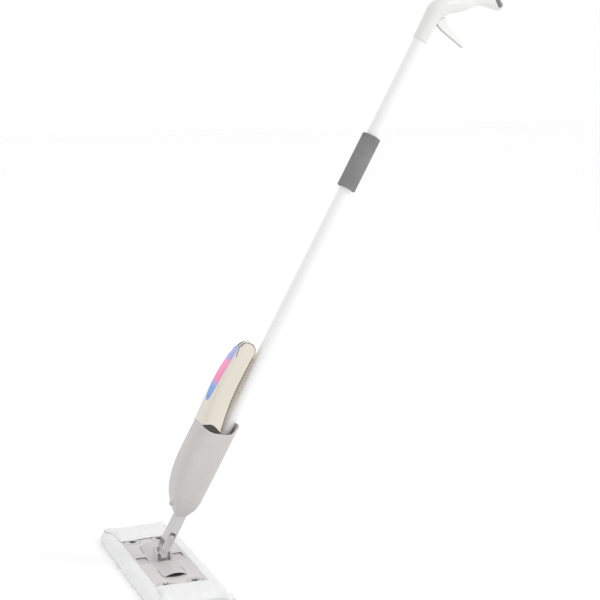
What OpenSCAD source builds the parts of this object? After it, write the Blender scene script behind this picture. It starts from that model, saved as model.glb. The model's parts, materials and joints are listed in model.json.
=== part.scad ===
// Flat spray mop: a fringed flat head on a two-axis joint, a bottle housing,
// a tube pole with a trigger pump and an angled hand grip. Millimetres.
// The origin is the centre of the pad's sole on the floor, +X runs along the head,
// -Y is the spraying side and +Z is up. The pole leans back towards +Y.
// Pole parts are drawn in a frame of their own: z runs up the pole from the pitch pin,
// y points to the user's side and x stays the head's long direction.

/* [Pole] */
// Lean of the pole back from upright, degrees
lean = 28.9; // [20:0.1:40]
// Height of the pitch pin over the floor
pin_z = 51; // [50:0.5:54]
// Outer diameter of the pole tubes
tube_d = 25; // [24:0.5:25.5]
// Wall of the pole tubes
tube_wall = 0.9; // [0.7:0.1:1.5]
// Distance of the tube axis behind the pitch pin
tube_y = 9.4; // [9:0.1:10]
// Height along the pole where the two tubes meet
tube_split = 845; // [830:1:860]
// Height along the pole of the handle collar's lower edge
collar_s = 1114; // [1100:1:1120]

/* [Foam grip] */
// Lower end of the foam grip along the pole
foam_s = 787; // [780:1:795]
// Length of the foam grip
foam_l = 115; // [100:1:125]
// Outer diameter of the foam grip
foam_d = 38; // [34:0.5:42]

/* [Housing] */
// Lower end of the housing along the pole
housing_s = 67; // [66:1:68]
// Height of the housing's front rim along the pole
rim_s = 249; // [240:1:255]
// Rise of the rim behind the tube
rim_rise = 26; // [15:1:32]
// Width of the housing
housing_w = 76; // [74:1:80]
// Front face of the housing, from the pitch pin
housing_front_y = -51; // [-54:0.5:-51]
// Rear face of the housing, from the pitch pin
housing_rear_y = 24.8; // [24.8:0.1:27]
// Wall of the housing
housing_wall = 2.5; // [2:0.1:2.8]

/* [Bottle] */
// Top of the bottle along the pole
bottle_top_s = 434; // [420:1:440]
// Width of the bottle
bottle_w = 68; // [64:1:68]
// Wall of the bottle
bottle_wall = 1.2; // [0.8:0.1:1.6]
// Height of the liquid's surface over the floor
liquid_z = 392; // [300:1:400]

/* [Neck and joint] */
// Width of the neck along X
neck_w = 28; // [28:0.5:28]
// Depth of the neck
neck_d = 18; // [18:0.5:18]
// Radius of the pitch and roll pins
joint_pin_r = 1.5; // [1.4:0.05:1.6]
// Height of the roll pin over the floor
roll_z = 29; // [29:0.5:29.5]

/* [Head] */
// Length of the base plate
plate_l = 380; // [360:1:400]
// Width of the base plate
plate_w = 100; // [98:1:104]
// Height of the base plate's top face
plate_top = 20; // [20:0.5:20]
// Distance of the cloth grippers from the middle along X
gripper_x = 118; // [110:1:120]
// Distance of the cloth grippers from the middle along Y
gripper_y = 28; // [26:1:30]
// Diameter of a cloth gripper
gripper_d = 30; // [28:1:32]

/* [Pad] */
// Length of the pad with its fringe
pad_l = 402; // [395:1:410]
// Width of the pad with its fringe
pad_w = 155; // [145:1:160]

/* [Trigger and pump] */
// Height of the trigger pin along the pole
trigger_s = 1166; // [1166:1:1166]
// Distance of the trigger pin behind the pitch pin
trigger_y = 22; // [22:0.5:22]
// Bore radius of the pump
pump_bore_r = 7; // [6.5:0.1:7]

/* [Hidden] */
$fn = 48;

// Pole and tubes
tube_r = tube_d / 2;
bore_r = tube_r - tube_wall;
gap = 0.3;
running = 0.05;
tube_foot_s = 132;
tube_head_s = collar_s + 34;

// Neck and joint
neck_front = -4.65;
neck_mid = neck_front + neck_d / 2;
neck_wall = 2.5;
neck_foot_s = 14;
neck_head_s = 80;
window_head_s = 33;
fork_foot_s = -6;
comb_head_s = 13;
plug_head_s = 62;
neck_pin_s = 55;
leaf_t = 3;
leaf_pitch = 6;
leaf_slot = leaf_t + 2 * gap;
barrel_r = 4.4;
roll_barrel_r = 6.8;
roll_barrel_l = 12;
wall_y = 13;
wall_t = 4;

// Housing
floor_s = 160;
cup_blend_s = 231;
seam_y = tube_y;
socket_y = -23;
socket_r = 17;
cap_r = 14;
cap_foot_s = 134;
cap_head_s = 154;
bottle_foot_s = 163.5;
bottle_rear_y = -6;
pump_foot_s = 84;
pump_head_s = 124;
pump_wall = 2;
nozzle_y = -24;
nozzle_s = 82.5;
nozzle_tilt = 37;
hose_r = 2.6;
barb_r = 2.2;
housing_screw_x = 21;
housing_screw_s = [112, 226];

// Handle
hang_a = [127.5, 1257];
hang_b = [115.5, 1264.5];
hang_r = 4.4;
hang_liner_t = 1;
handle_wall = 2.4;
// Place of each handle screw (y, z) and half length of its boss
handle_screw_at = [[20, 1193, 16], [52, 1216.5, 14], [96, 1251.5, 10.8]];
trigger_hub_r = 4.4;
trigger_half_w = 4;

// Head
plate_foot = 12;
plate_skin = 3;
plate_corner = 12;
base_top = 26;
base_half_l = 86;
base_half_w = 24;
pocket_half_w = 11.6;
pad_core_l = 392;
pad_core_w = 120;
pad_core_t = 11.8;
flap_in = 124;
flap_top = 24;

cream = [0.88, 0.86, 0.8];
light_grey = [0.82, 0.82, 0.81];
mid_grey = [0.72, 0.72, 0.71];
dark_grey = [0.3, 0.3, 0.31];
steel = [0.7, 0.71, 0.73];
white = [0.95, 0.95, 0.94];

// ---------- helpers ----------

module on_pole() translate([0, 0, pin_z]) rotate([-lean, 0, 0]) children();

// A 2-D outline of (y, z) points drawn through X
module along_x(h) rotate([90, 0, 90]) linear_extrude(h, center = true) children();

// A 2-D outline of (x, z) points drawn through Y
module along_y(h) rotate([90, 0, 0]) linear_extrude(h, center = true) children();

// A round bar along X, Y or the pole
module bar_x(r, l) rotate([0, 90, 0]) cylinder(r = r, h = l, center = true);
module bar_y(r, l) rotate([90, 0, 0]) cylinder(r = r, h = l, center = true);

// A flat rectangle with round corners, from exact shapes
module round_rect(w, d, r) {
    square([w - 2 * r, d], center = true);
    square([w, d - 2 * r], center = true);
    for (i = [-1, 1], j = [-1, 1]) translate([i * (w / 2 - r), j * (d / 2 - r)]) circle(r);
}

module ring(r_out, r_in, h) difference() {
    cylinder(r = r_out, h = h);
    translate([0, 0, -1]) cylinder(r = r_in, h = h + 2);
}

function clamp01(t) = max(0, min(1, t));
function ease_out(t, p) = 1 - pow(1 - clamp01(t), p);
function mix(a, b, t) = a + (b - a) * t;

// Closed tube of points: rings of equal length become one solid
module skin(rings) {
    n = len(rings[0]);
    m = len(rings);
    points = [for (r = rings) each r];
    sides = [for (i = [0 : m - 2], j = [0 : n - 1])
        [i * n + j, i * n + (j + 1) % n, (i + 1) * n + (j + 1) % n, (i + 1) * n + j]];
    foot = [for (j = [0 : n - 1]) n - 1 - j];
    head = [for (j = [0 : n - 1]) (m - 1) * n + j];
    polyhedron(points = points, faces = concat([foot], sides, [head]), convexity = 8);
}

// Direction of a planar (y, z) route at point i
function route_dir(p, i) = let (a = p[max(0, i - 1)], b = p[min(len(p) - 1, i + 1)]) (b - a) / norm(b - a);

// One elliptical ring across a planar (y, z) route; rx is along X, rn across it
function route_ring(p, i, rx, rn, sides) = let (d = route_dir(p, i), c = [-d[1], d[0]])
    [for (k = [0 : sides - 1]) let (a = 360 * (k + 0.5) / sides)
        [rx * cos(a), p[i][0] + c[0] * rn * sin(a), p[i][1] + c[1] * rn * sin(a)]];

// ---------- handle ----------

// Centre line of the handle, (y, z) in the pole frame, with its half thickness at each point
handle_line = [
    [tube_y, collar_s, 14.2], [tube_y, 1140, 14.6], [10.2, 1164, 15.8], [12, 1180, 18],
    [20.5, 1194.5, 18.2], [32.5, 1204.5, 16.6], [46, 1213, 15.2], [60, 1224, 14], [71, 1235.5, 12.2],
    [83, 1245, 11.4], [96, 1251, 11.8], [110, 1256, 13], [122, 1260, 14.2], [131, 1261.5, 13.6],
    [136, 1262, 10.5]
];
handle_route = [for (p = handle_line) [p[0], p[1]]];
handle_width = 1.04;

module handle_solid(inset, first, last) skin([for (i = [first : last])
    route_ring(handle_route, i, (handle_line[i][2] - inset) * handle_width,
        handle_line[i][2] - inset, 16)]);

module hang_slot(r, l) along_x(l) {
    for (p = [hang_a, hang_b]) translate(p) circle(r);
    d = hang_b - hang_a;
    translate((hang_a + hang_b) / 2) rotate(atan2(d[1], d[0]))
        square([norm(d), 2 * r - 0.1], center = true);
}

module trigger_opening() along_x(2 * trigger_half_w + 1.6)
    polygon([[19, 1147], [48, 1147], [48, 1178], [42, 1190], [24, 1187]]);

module handle_body() difference() {
    union() {
        difference() {
            handle_solid(0, 0, 14);
            handle_solid(handle_wall, 2, 10);
        }
        for (p = handle_screw_at) translate([0, p[0], p[1]]) bar_x(3.6, 2 * p[2]);
        translate([0, trigger_y, trigger_s]) bar_x(4.2, 24);
        translate([0, tube_y, collar_s + 36]) ring(tube_r + 1.4, 10.5, 6);
    }
    translate([0, tube_y, collar_s - 1]) cylinder(r = tube_r, h = 36);
    translate([0, tube_y, collar_s - 1]) cylinder(r = 10.5, h = 54);
    translate([0, trigger_y, trigger_s]) bar_x(trigger_hub_r + 1.2, 2 * trigger_half_w + 1.6);
    translate([0, trigger_y, trigger_s]) bar_x(joint_pin_r, 60);
    translate([0, 9, trigger_s + 4.5]) cube([2 * trigger_half_w + 1.6, 24, 15], center = true);
    trigger_opening();
    hang_slot(hang_r + hang_liner_t, 60);
    for (p = handle_screw_at) translate([0, p[0], p[1]]) {
        bar_x(1.4, 60);
        translate([-20, 0, 0]) bar_x(3.2, 22);
    }
}

module handle_left() color(light_grey) on_pole() intersection() {
    handle_body();
    translate([-30, 60, collar_s + 80]) cube([60, 220, 220], center = true);
}

module handle_right() color(light_grey) on_pole() intersection() {
    handle_body();
    translate([30, 60, collar_s + 80]) cube([60, 220, 220], center = true);
}

module handle_screws() color(steel) on_pole() for (p = handle_screw_at) translate([0, p[0], p[1]]) {
    translate([-0.5, 0, 0]) bar_x(1.4, 18);
    translate([-9.9, 0, 0]) difference() {
        bar_x(3, 1.8);
        translate([-1, 0, 0]) cube([1.2, 4, 0.7], center = true);
        translate([-1, 0, 0]) cube([1.2, 0.7, 4], center = true);
    }
}

module hang_slot_liner() color(dark_grey) on_pole() difference() {
    hang_slot(hang_r + hang_liner_t, 25);
    hang_slot(hang_r, 60);
}

// ---------- trigger ----------

nose_arm = trigger_y - tube_y;
nose_r = 1.8;
trigger_blade = [
    [27, 1158.5], [43, 1154.4], [60, 1152], [80, 1149.8], [96, 1147.4], [98.5, 1148], [99, 1150.6],
    [97, 1153.4], [78, 1159.4], [62, 1163], [50, 1167.4], [42.5, 1173.4], [38.5, 1180], [35, 1179],
    [28, 1171]
];

module trigger() color(light_grey) on_pole() difference() {
    union() {
        intersection() {
            along_x(2 * trigger_half_w) polygon(trigger_blade);
            translate([0, 62, 1160]) along_y(90)
                round_rect(2 * trigger_half_w, 60, 3);
        }
        translate([0, trigger_y, trigger_s]) {
            bar_x(trigger_hub_r, 2 * trigger_half_w);
            along_x(2 * trigger_half_w) polygon([[1, -4], [1, 4], [9, 6], [9, -8]]);
            along_x(6) polygon([[0, -3], [0, 4], [-nose_arm, 2], [-nose_arm, -0.2], [-6.5, -0.6]]);
            translate([0, -nose_arm, nose_r - 1.4]) bar_x(nose_r, 6);
        }
    }
    translate([0, trigger_y, trigger_s]) bar_x(joint_pin_r + running, 40);
}

module trigger_pin() color(steel) on_pole() translate([0, trigger_y, trigger_s]) bar_x(joint_pin_r, 22);

// ---------- tubes, foam grip and push rod ----------

module lower_tube() color(white) on_pole() translate([0, tube_y, tube_foot_s])
    ring(tube_r, bore_r, tube_split - 0.5 - tube_foot_s);

module upper_tube() color(white) on_pole() translate([0, tube_y, tube_split + 0.5])
    ring(tube_r, bore_r, tube_head_s - tube_split - 0.5);

module tube_coupler() color(mid_grey) on_pole() translate([0, tube_y, 0]) difference() {
    union() {
        translate([0, 0, tube_split - 45]) cylinder(r = bore_r, h = 90);
        translate([0, 0, tube_split - 0.5]) cylinder(r = tube_r, h = 1);
    }
    translate([0, 0, tube_split - 46]) cylinder(r = bore_r - 2.2, h = 92);
}

module foam_grip() color([0.5, 0.5, 0.51]) on_pole() translate([0, tube_y, foam_s]) rotate_extrude()
    polygon([[tube_r, 0], [foam_d / 2 - 1.5, 0], [foam_d / 2, 1.5], [foam_d / 2, foam_l - 1.5],
        [foam_d / 2 - 1.5, foam_l], [tube_r, foam_l]]);

rod_r = 2.5;
rod_foot_s = 128;
rod_head_s = trigger_s - 6.4;

module rod_guides() color(mid_grey) on_pole() for (s = [340, 600, 980]) translate([0, tube_y, s]) {
    ring(bore_r, bore_r - 2, 12);
    ring(rod_r + 2, rod_r + 0.4, 12);
    for (a = [0, 120, 240]) rotate(a) translate([rod_r + 1.2, -0.8, 0])
        cube([bore_r - rod_r - 2.4, 1.6, 12]);
}

module push_rod() color(steel) on_pole() translate([0, tube_y, rod_foot_s])
    cylinder(r = rod_r, h = rod_head_s - rod_foot_s);

module rod_head() color(mid_grey) on_pole() translate([0, tube_y, rod_head_s - 12]) difference() {
    rotate_extrude() polygon([[0, 0], [5, 0], [6, 2], [6, 14], [5, 16.8], [0, 16.8]]);
    translate([0, 0, -1]) cylinder(r = rod_r, h = 13);
}

// ---------- housing ----------

function housing_front_at(s) =
    mix(-6.6, housing_front_y, ease_out((s - housing_s) / (cup_blend_s - housing_s), 4));
function housing_rear_at(s) = mix(15.4, housing_rear_y, ease_out((s - housing_s) / 24, 2));
function housing_half_w(s) = mix(16.4, housing_w / 2, ease_out((s - housing_s) / 133, 3));
housing_steps = [for (t = [0 : 0.05 : 1]) mix(housing_s, rim_s + rim_rise, t * (0.35 + 0.65 * t))];

module housing_space(inset) {
    mid = (housing_front_y + housing_rear_y) / 2;
    deep = housing_rear_y - housing_front_y - 2 * inset;
    intersection() {
        along_x(120) polygon(concat(
            [for (s = housing_steps) [housing_front_at(s) + inset, s]],
            [for (i = [len(housing_steps) - 1 : -1 : 0])
                [housing_rear_at(housing_steps[i]) - inset, housing_steps[i]]]));
        along_y(200) polygon(concat(
            [for (s = housing_steps) [housing_half_w(s) - inset, s]],
            [for (i = [len(housing_steps) - 1 : -1 : 0])
                [inset - housing_half_w(housing_steps[i]), housing_steps[i]]]));
        translate([0, mid, 0]) linear_extrude(400)
            round_rect(housing_w - 2 * inset, deep, 23 - inset);
    }
}

module slab(z0, z1) translate([-60, -80, z0]) cube([120, 140, z1 - z0]);

// Space above the rim, which sweeps up behind the tube
module above_rim() along_x(120) polygon(concat(
    [[-90, rim_s]], [for (t = [0 : 0.1 : 1]) [mix(-2, housing_rear_y, t), rim_s + rim_rise * t * t]],
    [[60, rim_s + rim_rise], [60, 330], [-90, 330]]));

module neck_blank(z0, z1, clear) translate([0, neck_mid, z0]) linear_extrude(z1 - z0)
    round_rect(neck_w + 2 * clear, neck_d + 2 * clear, 3);

module nozzle_place() translate([0, nozzle_y, nozzle_s]) rotate([90 + nozzle_tilt, 0, 0]) children();

module housing_shell() difference() {
    housing_space(0);
    above_rim();
    intersection() {
        housing_space(housing_wall);
        union() {
            slab(pump_foot_s, floor_s - housing_wall);
            slab(floor_s, 330);
        }
    }
    neck_blank(50, neck_head_s + 0.2, 0.05);
    translate([0, socket_y, 140]) cylinder(r = socket_r, h = 30);
    translate([0, tube_y, tube_foot_s - 1]) cylinder(r = tube_r, h = 300);
    nozzle_place() translate([0, 0, -14]) cylinder(r = 5, h = 26);
}

// Web that holds the tube against the housing's rear wall
module tube_saddle(s) translate([0, 0, s]) difference() {
    translate([-15, tube_y, 0]) cube([30, housing_rear_y - tube_y - 1, 3]);
    translate([0, tube_y, -1]) cylinder(r = tube_r, h = 5);
}

module screw_boss(i, s, y0, y1) translate([i * housing_screw_x, (y0 + y1) / 2, s]) bar_y(3.4, y1 - y0);

module housing_front() color(light_grey) on_pole() difference() {
    intersection() {
        union() {
            housing_shell();
            intersection() {
                housing_space(1);
                for (i = [-1, 1], s = housing_screw_s) {
                    screw_boss(i, s, -4, seam_y);
                    translate([i * 30.5 - 7.5, -3, s - 1]) cube([15, seam_y + 3, 2]);
                }
            }
        }
        translate([-60, -80, 40]) cube([120, 80 + seam_y, 300]);
    }
    for (i = [-1, 1], s = housing_screw_s) translate([i * housing_screw_x, 10, s]) bar_y(1.4, 24);
}

module housing_rear() color(light_grey) on_pole() difference() {
    intersection() {
        union() {
            housing_shell();
            for (s = [190, 240]) tube_saddle(s);
            intersection() {
                housing_space(1);
                for (i = [-1, 1], s = housing_screw_s) screw_boss(i, s, seam_y, 24);
            }
        }
        translate([-60, seam_y, 40]) cube([120, 60, 300]);
    }
    for (i = [-1, 1], s = housing_screw_s) {
        translate([i * housing_screw_x, 10, s]) bar_y(1.4, 40);
        translate([i * housing_screw_x, 27, s]) bar_y(3, 14);
    }
}

module housing_screws() color(steel) on_pole() for (i = [-1, 1], s = housing_screw_s)
    translate([i * housing_screw_x, 0, s]) {
        translate([0, 10.4, 0]) bar_y(1.4, 20.8);
        translate([0, 21, 0]) difference() {
            bar_y(2.8, 1.6);
            translate([0, 0.8, 0]) cube([3.6, 1, 0.7], center = true);
            translate([0, 0.8, 0]) cube([0.7, 1, 3.6], center = true);
        }
    }

// ---------- bottle seat, pump, hoses and nozzle ----------

module bottle_socket() color(mid_grey) on_pole() translate([0, socket_y, 0]) difference() {
    union() {
        translate([0, 0, 128]) cylinder(r = socket_r, h = floor_s + 1.6 - 128);
        translate([0, 0, floor_s]) cylinder(r = socket_r + 2, h = 1.6);
        translate([0, 0, 120]) cylinder(r = barb_r, h = 9);
    }
    difference() {
        translate([0, 0, 131]) cylinder(r = cap_r + 0.6, h = 40);
        translate([0, 0, 130]) cylinder(r = 3, h = 11);
    }
    translate([0, 0, 110]) cylinder(r = 1.2, h = 40);
}

module socket_seal() color(dark_grey) on_pole() translate([0, socket_y, 132.2])
    rotate_extrude() translate([7, 0]) circle(1.2);

// A hose with round ends along a planar (y, z) route
module hose(route, r) skin([for (i = [0 : len(route) - 1]) route_ring(route, i, r, r, 10)]);

feed_route = [[-23, 127.8], [-23, 119], [-22.5, 113], [-20.5, 108], [-17, 104], [-12.5, 101.6],
    [-7, 100.6], [-0.2, 100.6]];
nozzle_route = [[-4.4, 91], [-8, 91], [-11.5, 90.8], [-14.4, 89.7], [-15.9, 88.6]];

module feed_hose() color(cream) on_pole() difference() {
    hose(feed_route, hose_r + 0.9);
    translate([0, socket_y, 118]) cylinder(r = barb_r, h = 12);
    translate([0, 0, 100.6]) bar_y(barb_r, 10);
}

module nozzle_hose() color(cream) on_pole() difference() {
    hose(nozzle_route, hose_r + 0.9);
    translate([0, -4, 91]) bar_y(barb_r, 8);
    nozzle_place() translate([0, 0, -20]) cylinder(r = barb_r, h = 12);
}

module pump_cylinder() color(mid_grey) on_pole() difference() {
    union() {
        translate([0, tube_y, pump_foot_s])
            cylinder(r = pump_bore_r + pump_wall, h = pump_head_s - pump_foot_s);
        translate([0, tube_y - 7, 100.6]) bar_y(barb_r, 14);
        translate([0, tube_y - 10, 91]) bar_y(barb_r, 14);
        translate([0, tube_y, pump_head_s - 3]) cylinder(r = 11, h = 3);
    }
    translate([0, tube_y, pump_foot_s + 3]) cylinder(r = pump_bore_r, h = 33);
    translate([0, tube_y, pump_head_s - 10]) cylinder(r = 3.4, h = 20);
    for (z = [100.6, 91]) translate([0, tube_y - 10, z]) bar_y(1.2, 20);
}

module pump_piston() color(white) on_pole() translate([0, tube_y, 0]) difference() {
    union() {
        translate([0, 0, 111]) cylinder(r = pump_bore_r - 0.4, h = 5);
        translate([0, 0, 111]) cylinder(r = 3, h = rod_foot_s - 111);
    }
    translate([0, 0, 112.5]) difference() {
        cylinder(r = pump_bore_r + 1, h = 2);
        cylinder(r = 5, h = 2);
    }
}

module piston_seal() color(dark_grey) on_pole() translate([0, tube_y, 112.6])
    ring(pump_bore_r - running, 5, 1.8);

// Coil spring under the piston: one wire swept along a helix
module pump_spring() color(steel) on_pole() translate([0, tube_y, pump_foot_s + 4]) {
    turns = 5;
    steps = 12;
    wire = 0.55;
    coil = 5.2;
    rise = 22.2;
    skin([for (i = [0 : turns * steps]) let (a = 360 * i / steps, z = rise * i / (turns * steps))
        [for (k = [0 : 5]) let (b = 60 * k)
            [(coil + wire * cos(b)) * cos(a), (coil + wire * cos(b)) * sin(a), z + wire * sin(b)]]]);
}

module inlet_valve() color(dark_grey) on_pole() translate([0, tube_y - 8, 100.6]) bar_y(1.1, 2);
module outlet_valve() color(dark_grey) on_pole() translate([0, tube_y - 8, 91]) bar_y(1.1, 2);

module spray_nozzle() color(mid_grey) on_pole() nozzle_place() difference() {
    union() {
        translate([0, 0, -10]) cylinder(r = 5, h = 14);
        translate([0, 0, 4]) cylinder(r1 = 5, r2 = 3.6, h = 3);
        translate([0, 0, -14]) cylinder(r = barb_r, h = 5);
    }
    translate([0, 0, -20]) cylinder(r = 1, h = 40);
    translate([0, 0, 5.6]) cylinder(r1 = 1, r2 = 2, h = 2);
}

// ---------- neck, fork and knuckle ----------

module neck() color(light_grey) on_pole() difference() {
    neck_blank(neck_foot_s, neck_head_s, 0);
    translate([0, neck_mid, neck_foot_s - 1]) linear_extrude(plug_head_s + 2 - neck_foot_s)
        round_rect(neck_w - 2 * neck_wall, neck_d - 2 * neck_wall, 1.5);
    side_windows();
    translate([0, neck_mid, neck_pin_s]) bar_x(joint_pin_r, 60);
}

// Side windows where the fork's two tabs show
module side_windows() translate([0, neck_mid - 0.6, 0]) along_x(60) {
    translate([-6.4, neck_foot_s - 1]) square([12.8, window_head_s - neck_foot_s - 1]);
    translate([-4.4, window_head_s - 4]) square([8.8, 4]);
    for (i = [-1, 1]) translate([i * 4.4, window_head_s - 2]) circle(2);
}

module neck_pin() color(steel) on_pole() translate([0, neck_mid, neck_pin_s])
    bar_x(joint_pin_r, neck_w - 0.6);

module fork_blank() intersection() {
    neck_blank(fork_foot_s, neck_foot_s, 0);
    along_x(60) polygon(concat(
        [[neck_front, neck_foot_s], [neck_front, -1.6], [neck_front + 1.3, -4.7],
            [neck_front + 4, fork_foot_s]],
        [for (a = [-90 : 15 : 0]) [6 + 7.35 * cos(a), 1.35 + 7.35 * sin(a)]],
        [[neck_front + neck_d, neck_foot_s]]));
}

module hinge_fork() color(mid_grey) on_pole() difference() {
    union() {
        fork_blank();
        translate([0, neck_mid, neck_foot_s]) linear_extrude(plug_head_s - neck_foot_s)
            round_rect(neck_w - 2 * neck_wall, neck_d - 2 * neck_wall, 1.5);
        for (i = [-1, 1]) {
            translate([i * (neck_w / 2 - 1.4), neck_mid - 0.6, 0]) along_x(2.8) {
                translate([-6.1, 10]) square([12.2, 12]);
                translate([0, 22]) circle(6.1);
            }
            translate([i * (neck_w / 2 - 0.4), neck_mid - 0.6, 24]) bar_y(1.4, 8);
        }
    }
    for (i = [-1.5 : 1 : 1.5]) translate([i * leaf_pitch, 0, 0])
        along_x(leaf_slot) translate([-30, -30]) square([60, 30 + comb_head_s]);
    bar_x(joint_pin_r, 25.2);
    translate([-10, 0, 0]) bar_x(joint_pin_r, 20);
    translate([0, neck_mid, neck_pin_s]) bar_x(joint_pin_r, 60);
    for (i = [-1, 1]) translate([i * 13, neck_mid - 0.6, 30.5]) cube([14, 10, 5], center = true);
    translate([0, neck_mid, 36]) linear_extrude(14) round_rect(16, 6, 1.5);
    translate([0, neck_mid, 56.5]) linear_extrude(10) round_rect(16, 6, 1.5);
}

module pitch_pin() color(steel) on_pole() translate([-0.6, 0, 0]) bar_x(joint_pin_r, 26);

leaf_block_w = 1.5 * leaf_pitch + leaf_t / 2;
leaf_outline = [[-4.2, 50], [-8.5, 44.5], [-10.6, 43], [-10.6, 40.5], [-6, 35.5], [-6, 30], [6, 30],
    [6, 35.5], [7.4, 40], [7.4, 43], [4.2, 50]];

module knuckle() color(mid_grey) difference() {
    union() {
        for (i = [-1.5 : 1 : 1.5]) translate([i * leaf_pitch, 0, 0]) {
            along_x(leaf_t) polygon(leaf_outline);
            translate([0, 0, pin_z]) bar_x(barrel_r, leaf_t);
        }
        translate([0, 0, roll_z]) bar_y(roll_barrel_r, roll_barrel_l);
        along_y(roll_barrel_l) polygon([[-8, roll_z], [8, roll_z], [leaf_block_w, roll_z + 3.5],
            [leaf_block_w, 36], [-leaf_block_w, 36], [-leaf_block_w, roll_z + 3.5]]);
        translate([0, 0, roll_z]) bar_y(4.2, 2 * wall_y - 0.8);
    }
    translate([0, 0, pin_z]) bar_x(joint_pin_r + running, 60);
    translate([0, 0, roll_z]) bar_y(joint_pin_r + 0.5 + running, 60);
}

// ---------- head ----------

module wall(y, half_w, head) translate([0, y, 0]) along_y(wall_t) {
    translate([-half_w, plate_top]) square([2 * half_w, head - half_w - plate_top]);
    translate([0, head - half_w]) circle(half_w);
}

// Height of the joint base's domed cover across the head
function cover_z(y) = plate_top + 1.2 + (base_top - plate_top - 1.2) * cos(90 * y / base_half_w);

// Cross section of the cover, drawn in by its skin
module cover_section(half_w, skin_t) polygon(concat([[half_w, plate_top - 1], [-half_w, plate_top - 1]],
    [for (k = [-8 : 8]) let (y = k * half_w / 8) [y, cover_z(y) - skin_t]]));

// Low domed cover, open at both ends, with the two walls that carry the roll pin
module joint_base() color(light_grey) difference() {
    union() {
        intersection() {
            translate([0, 0, plate_top]) linear_extrude(20) round_rect(2 * base_half_l, 2 * base_half_w, 14);
            along_x(2 * base_half_l + 2) cover_section(base_half_w, 0);
        }
        wall(-(wall_y + wall_t / 2), 10.5, 50);
        wall(wall_y + wall_t / 2, 8, 37);
    }
    along_y(2 * wall_y) polygon([[-pocket_half_w, plate_top + 1], [pocket_half_w, plate_top + 1],
        [pocket_half_w, plate_top + 3.3], [18, base_top + 1], [18, 60], [-18, 60], [-18, base_top + 1],
        [-pocket_half_w, plate_top + 3.3]]);
    translate([0, 0, roll_z]) bar_y(joint_pin_r + 0.5, 60);
    for (i = [-1, 1]) translate([i * 82, 0, 0]) along_x(40) cover_section(base_half_w - 3, 1.3);
    for (i = [-1, 1], j = [-1, 1]) translate([i * 36, j * 12, plate_top - 1]) cylinder(r = 1.4, h = 4.2);
}

module roll_pin() color(steel) translate([0, 0, roll_z]) bar_y(joint_pin_r + 0.5, 2 * (wall_y + wall_t) - 1);

module base_screws() color(steel) for (i = [-1, 1], j = [-1, 1]) translate([i * 36, j * 12, 0]) {
    translate([0, 0, plate_top - plate_skin - 1.8]) cylinder(r = 3, h = 1.8);
    translate([0, 0, plate_top - plate_skin - 1]) cylinder(r = 1.4, h = plate_skin + 4);
}

// Shallow ramp let into the plate's top face beside the joint
module ramp_pocket(y) translate([-29, y, plate_top]) rotate([0, -3, 0]) translate([0, -10, -2])
    cube([38, 20, 6]);

module base_plate() color(light_grey) difference() {
    union() {
        translate([0, 0, plate_top - plate_skin]) linear_extrude(plate_skin)
            round_rect(plate_l, plate_w, plate_corner);
        translate([0, 0, plate_foot]) linear_extrude(plate_top - plate_foot) difference() {
            round_rect(plate_l, plate_w, plate_corner);
            round_rect(plate_l - 6, plate_w - 6, plate_corner - 3);
        }
        for (x = [-150 : 50 : 150]) translate([x - 1, -plate_w / 2 + 1, plate_foot])
            cube([2, plate_w - 2, plate_top - plate_foot - 1]);
        for (y = [-9, 9]) translate([-plate_l / 2 + 1, y - 1, plate_foot])
            cube([plate_l - 2, 2, plate_top - plate_foot - 1]);
        for (i = [-1, 1], j = [-1, 1]) translate([i * gripper_x, j * gripper_y, plate_foot])
            cylinder(d = gripper_d + 5, h = plate_top - plate_foot);
    }
    for (i = [-1, 1], j = [-1, 1]) {
        translate([i * gripper_x, j * gripper_y, 0]) cylinder(d = gripper_d, h = 40);
        translate([i * 36, j * 12, 0]) cylinder(r = 1.7, h = 40);
        translate([i * 36, j * 12, 0]) cylinder(r = 3.2, h = plate_top - plate_skin);
    }
    for (y = [-36.5, 36.5]) ramp_pocket(y);
}

// Soft disc with star slits that holds a tucked-in corner of cloth
module gripper(i, j) color(mid_grey) translate([i * gripper_x, j * gripper_y, 0]) difference() {
    union() {
        translate([0, 0, plate_top - 5]) cylinder(d = gripper_d, h = 5);
        translate([0, 0, plate_top]) cylinder(d1 = gripper_d + 1.5, d2 = gripper_d, h = 0.8);
    }
    translate([0, 0, plate_top - 7]) cylinder(d = gripper_d - 4, h = 4.6);
    translate([0, 0, plate_top - 1]) cylinder(r1 = 2, r2 = 12, h = 2);
    for (a = [30, 90, 150]) rotate(a) cube([22, 1.1, 80], center = true);
}

module gripper_1() gripper(-1, -1);
module gripper_2() gripper(1, -1);
module gripper_3() gripper(-1, 1);
module gripper_4() gripper(1, 1);

// ---------- pad ----------

module pad_sole() color(white) linear_extrude(pad_core_t) round_rect(pad_core_l, pad_core_w, 14);

module pad_fringe() color(white) for (i = [-1, 1]) scale([1, i, 1]) along_x(pad_l) polygon([
    [plate_w / 2 + 0.6, pad_core_t + 0.2], [plate_w / 2 + 0.6, plate_top - 1.5], [60, plate_top - 2],
    [pad_w / 2 - 6, 13], [pad_w / 2, 6], [pad_w / 2, 0], [pad_core_w / 2 + 0.3, 0],
    [pad_core_w / 2 + 0.3, pad_core_t + 0.2]]);

module pad_flap(i) color(white) mirror([i < 0 ? 1 : 0, 0, 0]) along_y(plate_w + 1) polygon([
    [flap_in, plate_top + 1.2], [plate_l / 2 + 0.5, plate_top + 1.2], [plate_l / 2 + 0.5, pad_core_t + 0.2],
    [pad_l / 2 - 1, pad_core_t + 0.2], [pad_l / 2, 16], [pad_l / 2 - 1.5, 22], [pad_l / 2 - 5, flap_top],
    [flap_in + 2, flap_top], [flap_in, flap_top - 1]]);

module pad_flap_left() pad_flap(-1);
module pad_flap_right() pad_flap(1);

// ---------- bottle ----------

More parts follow.
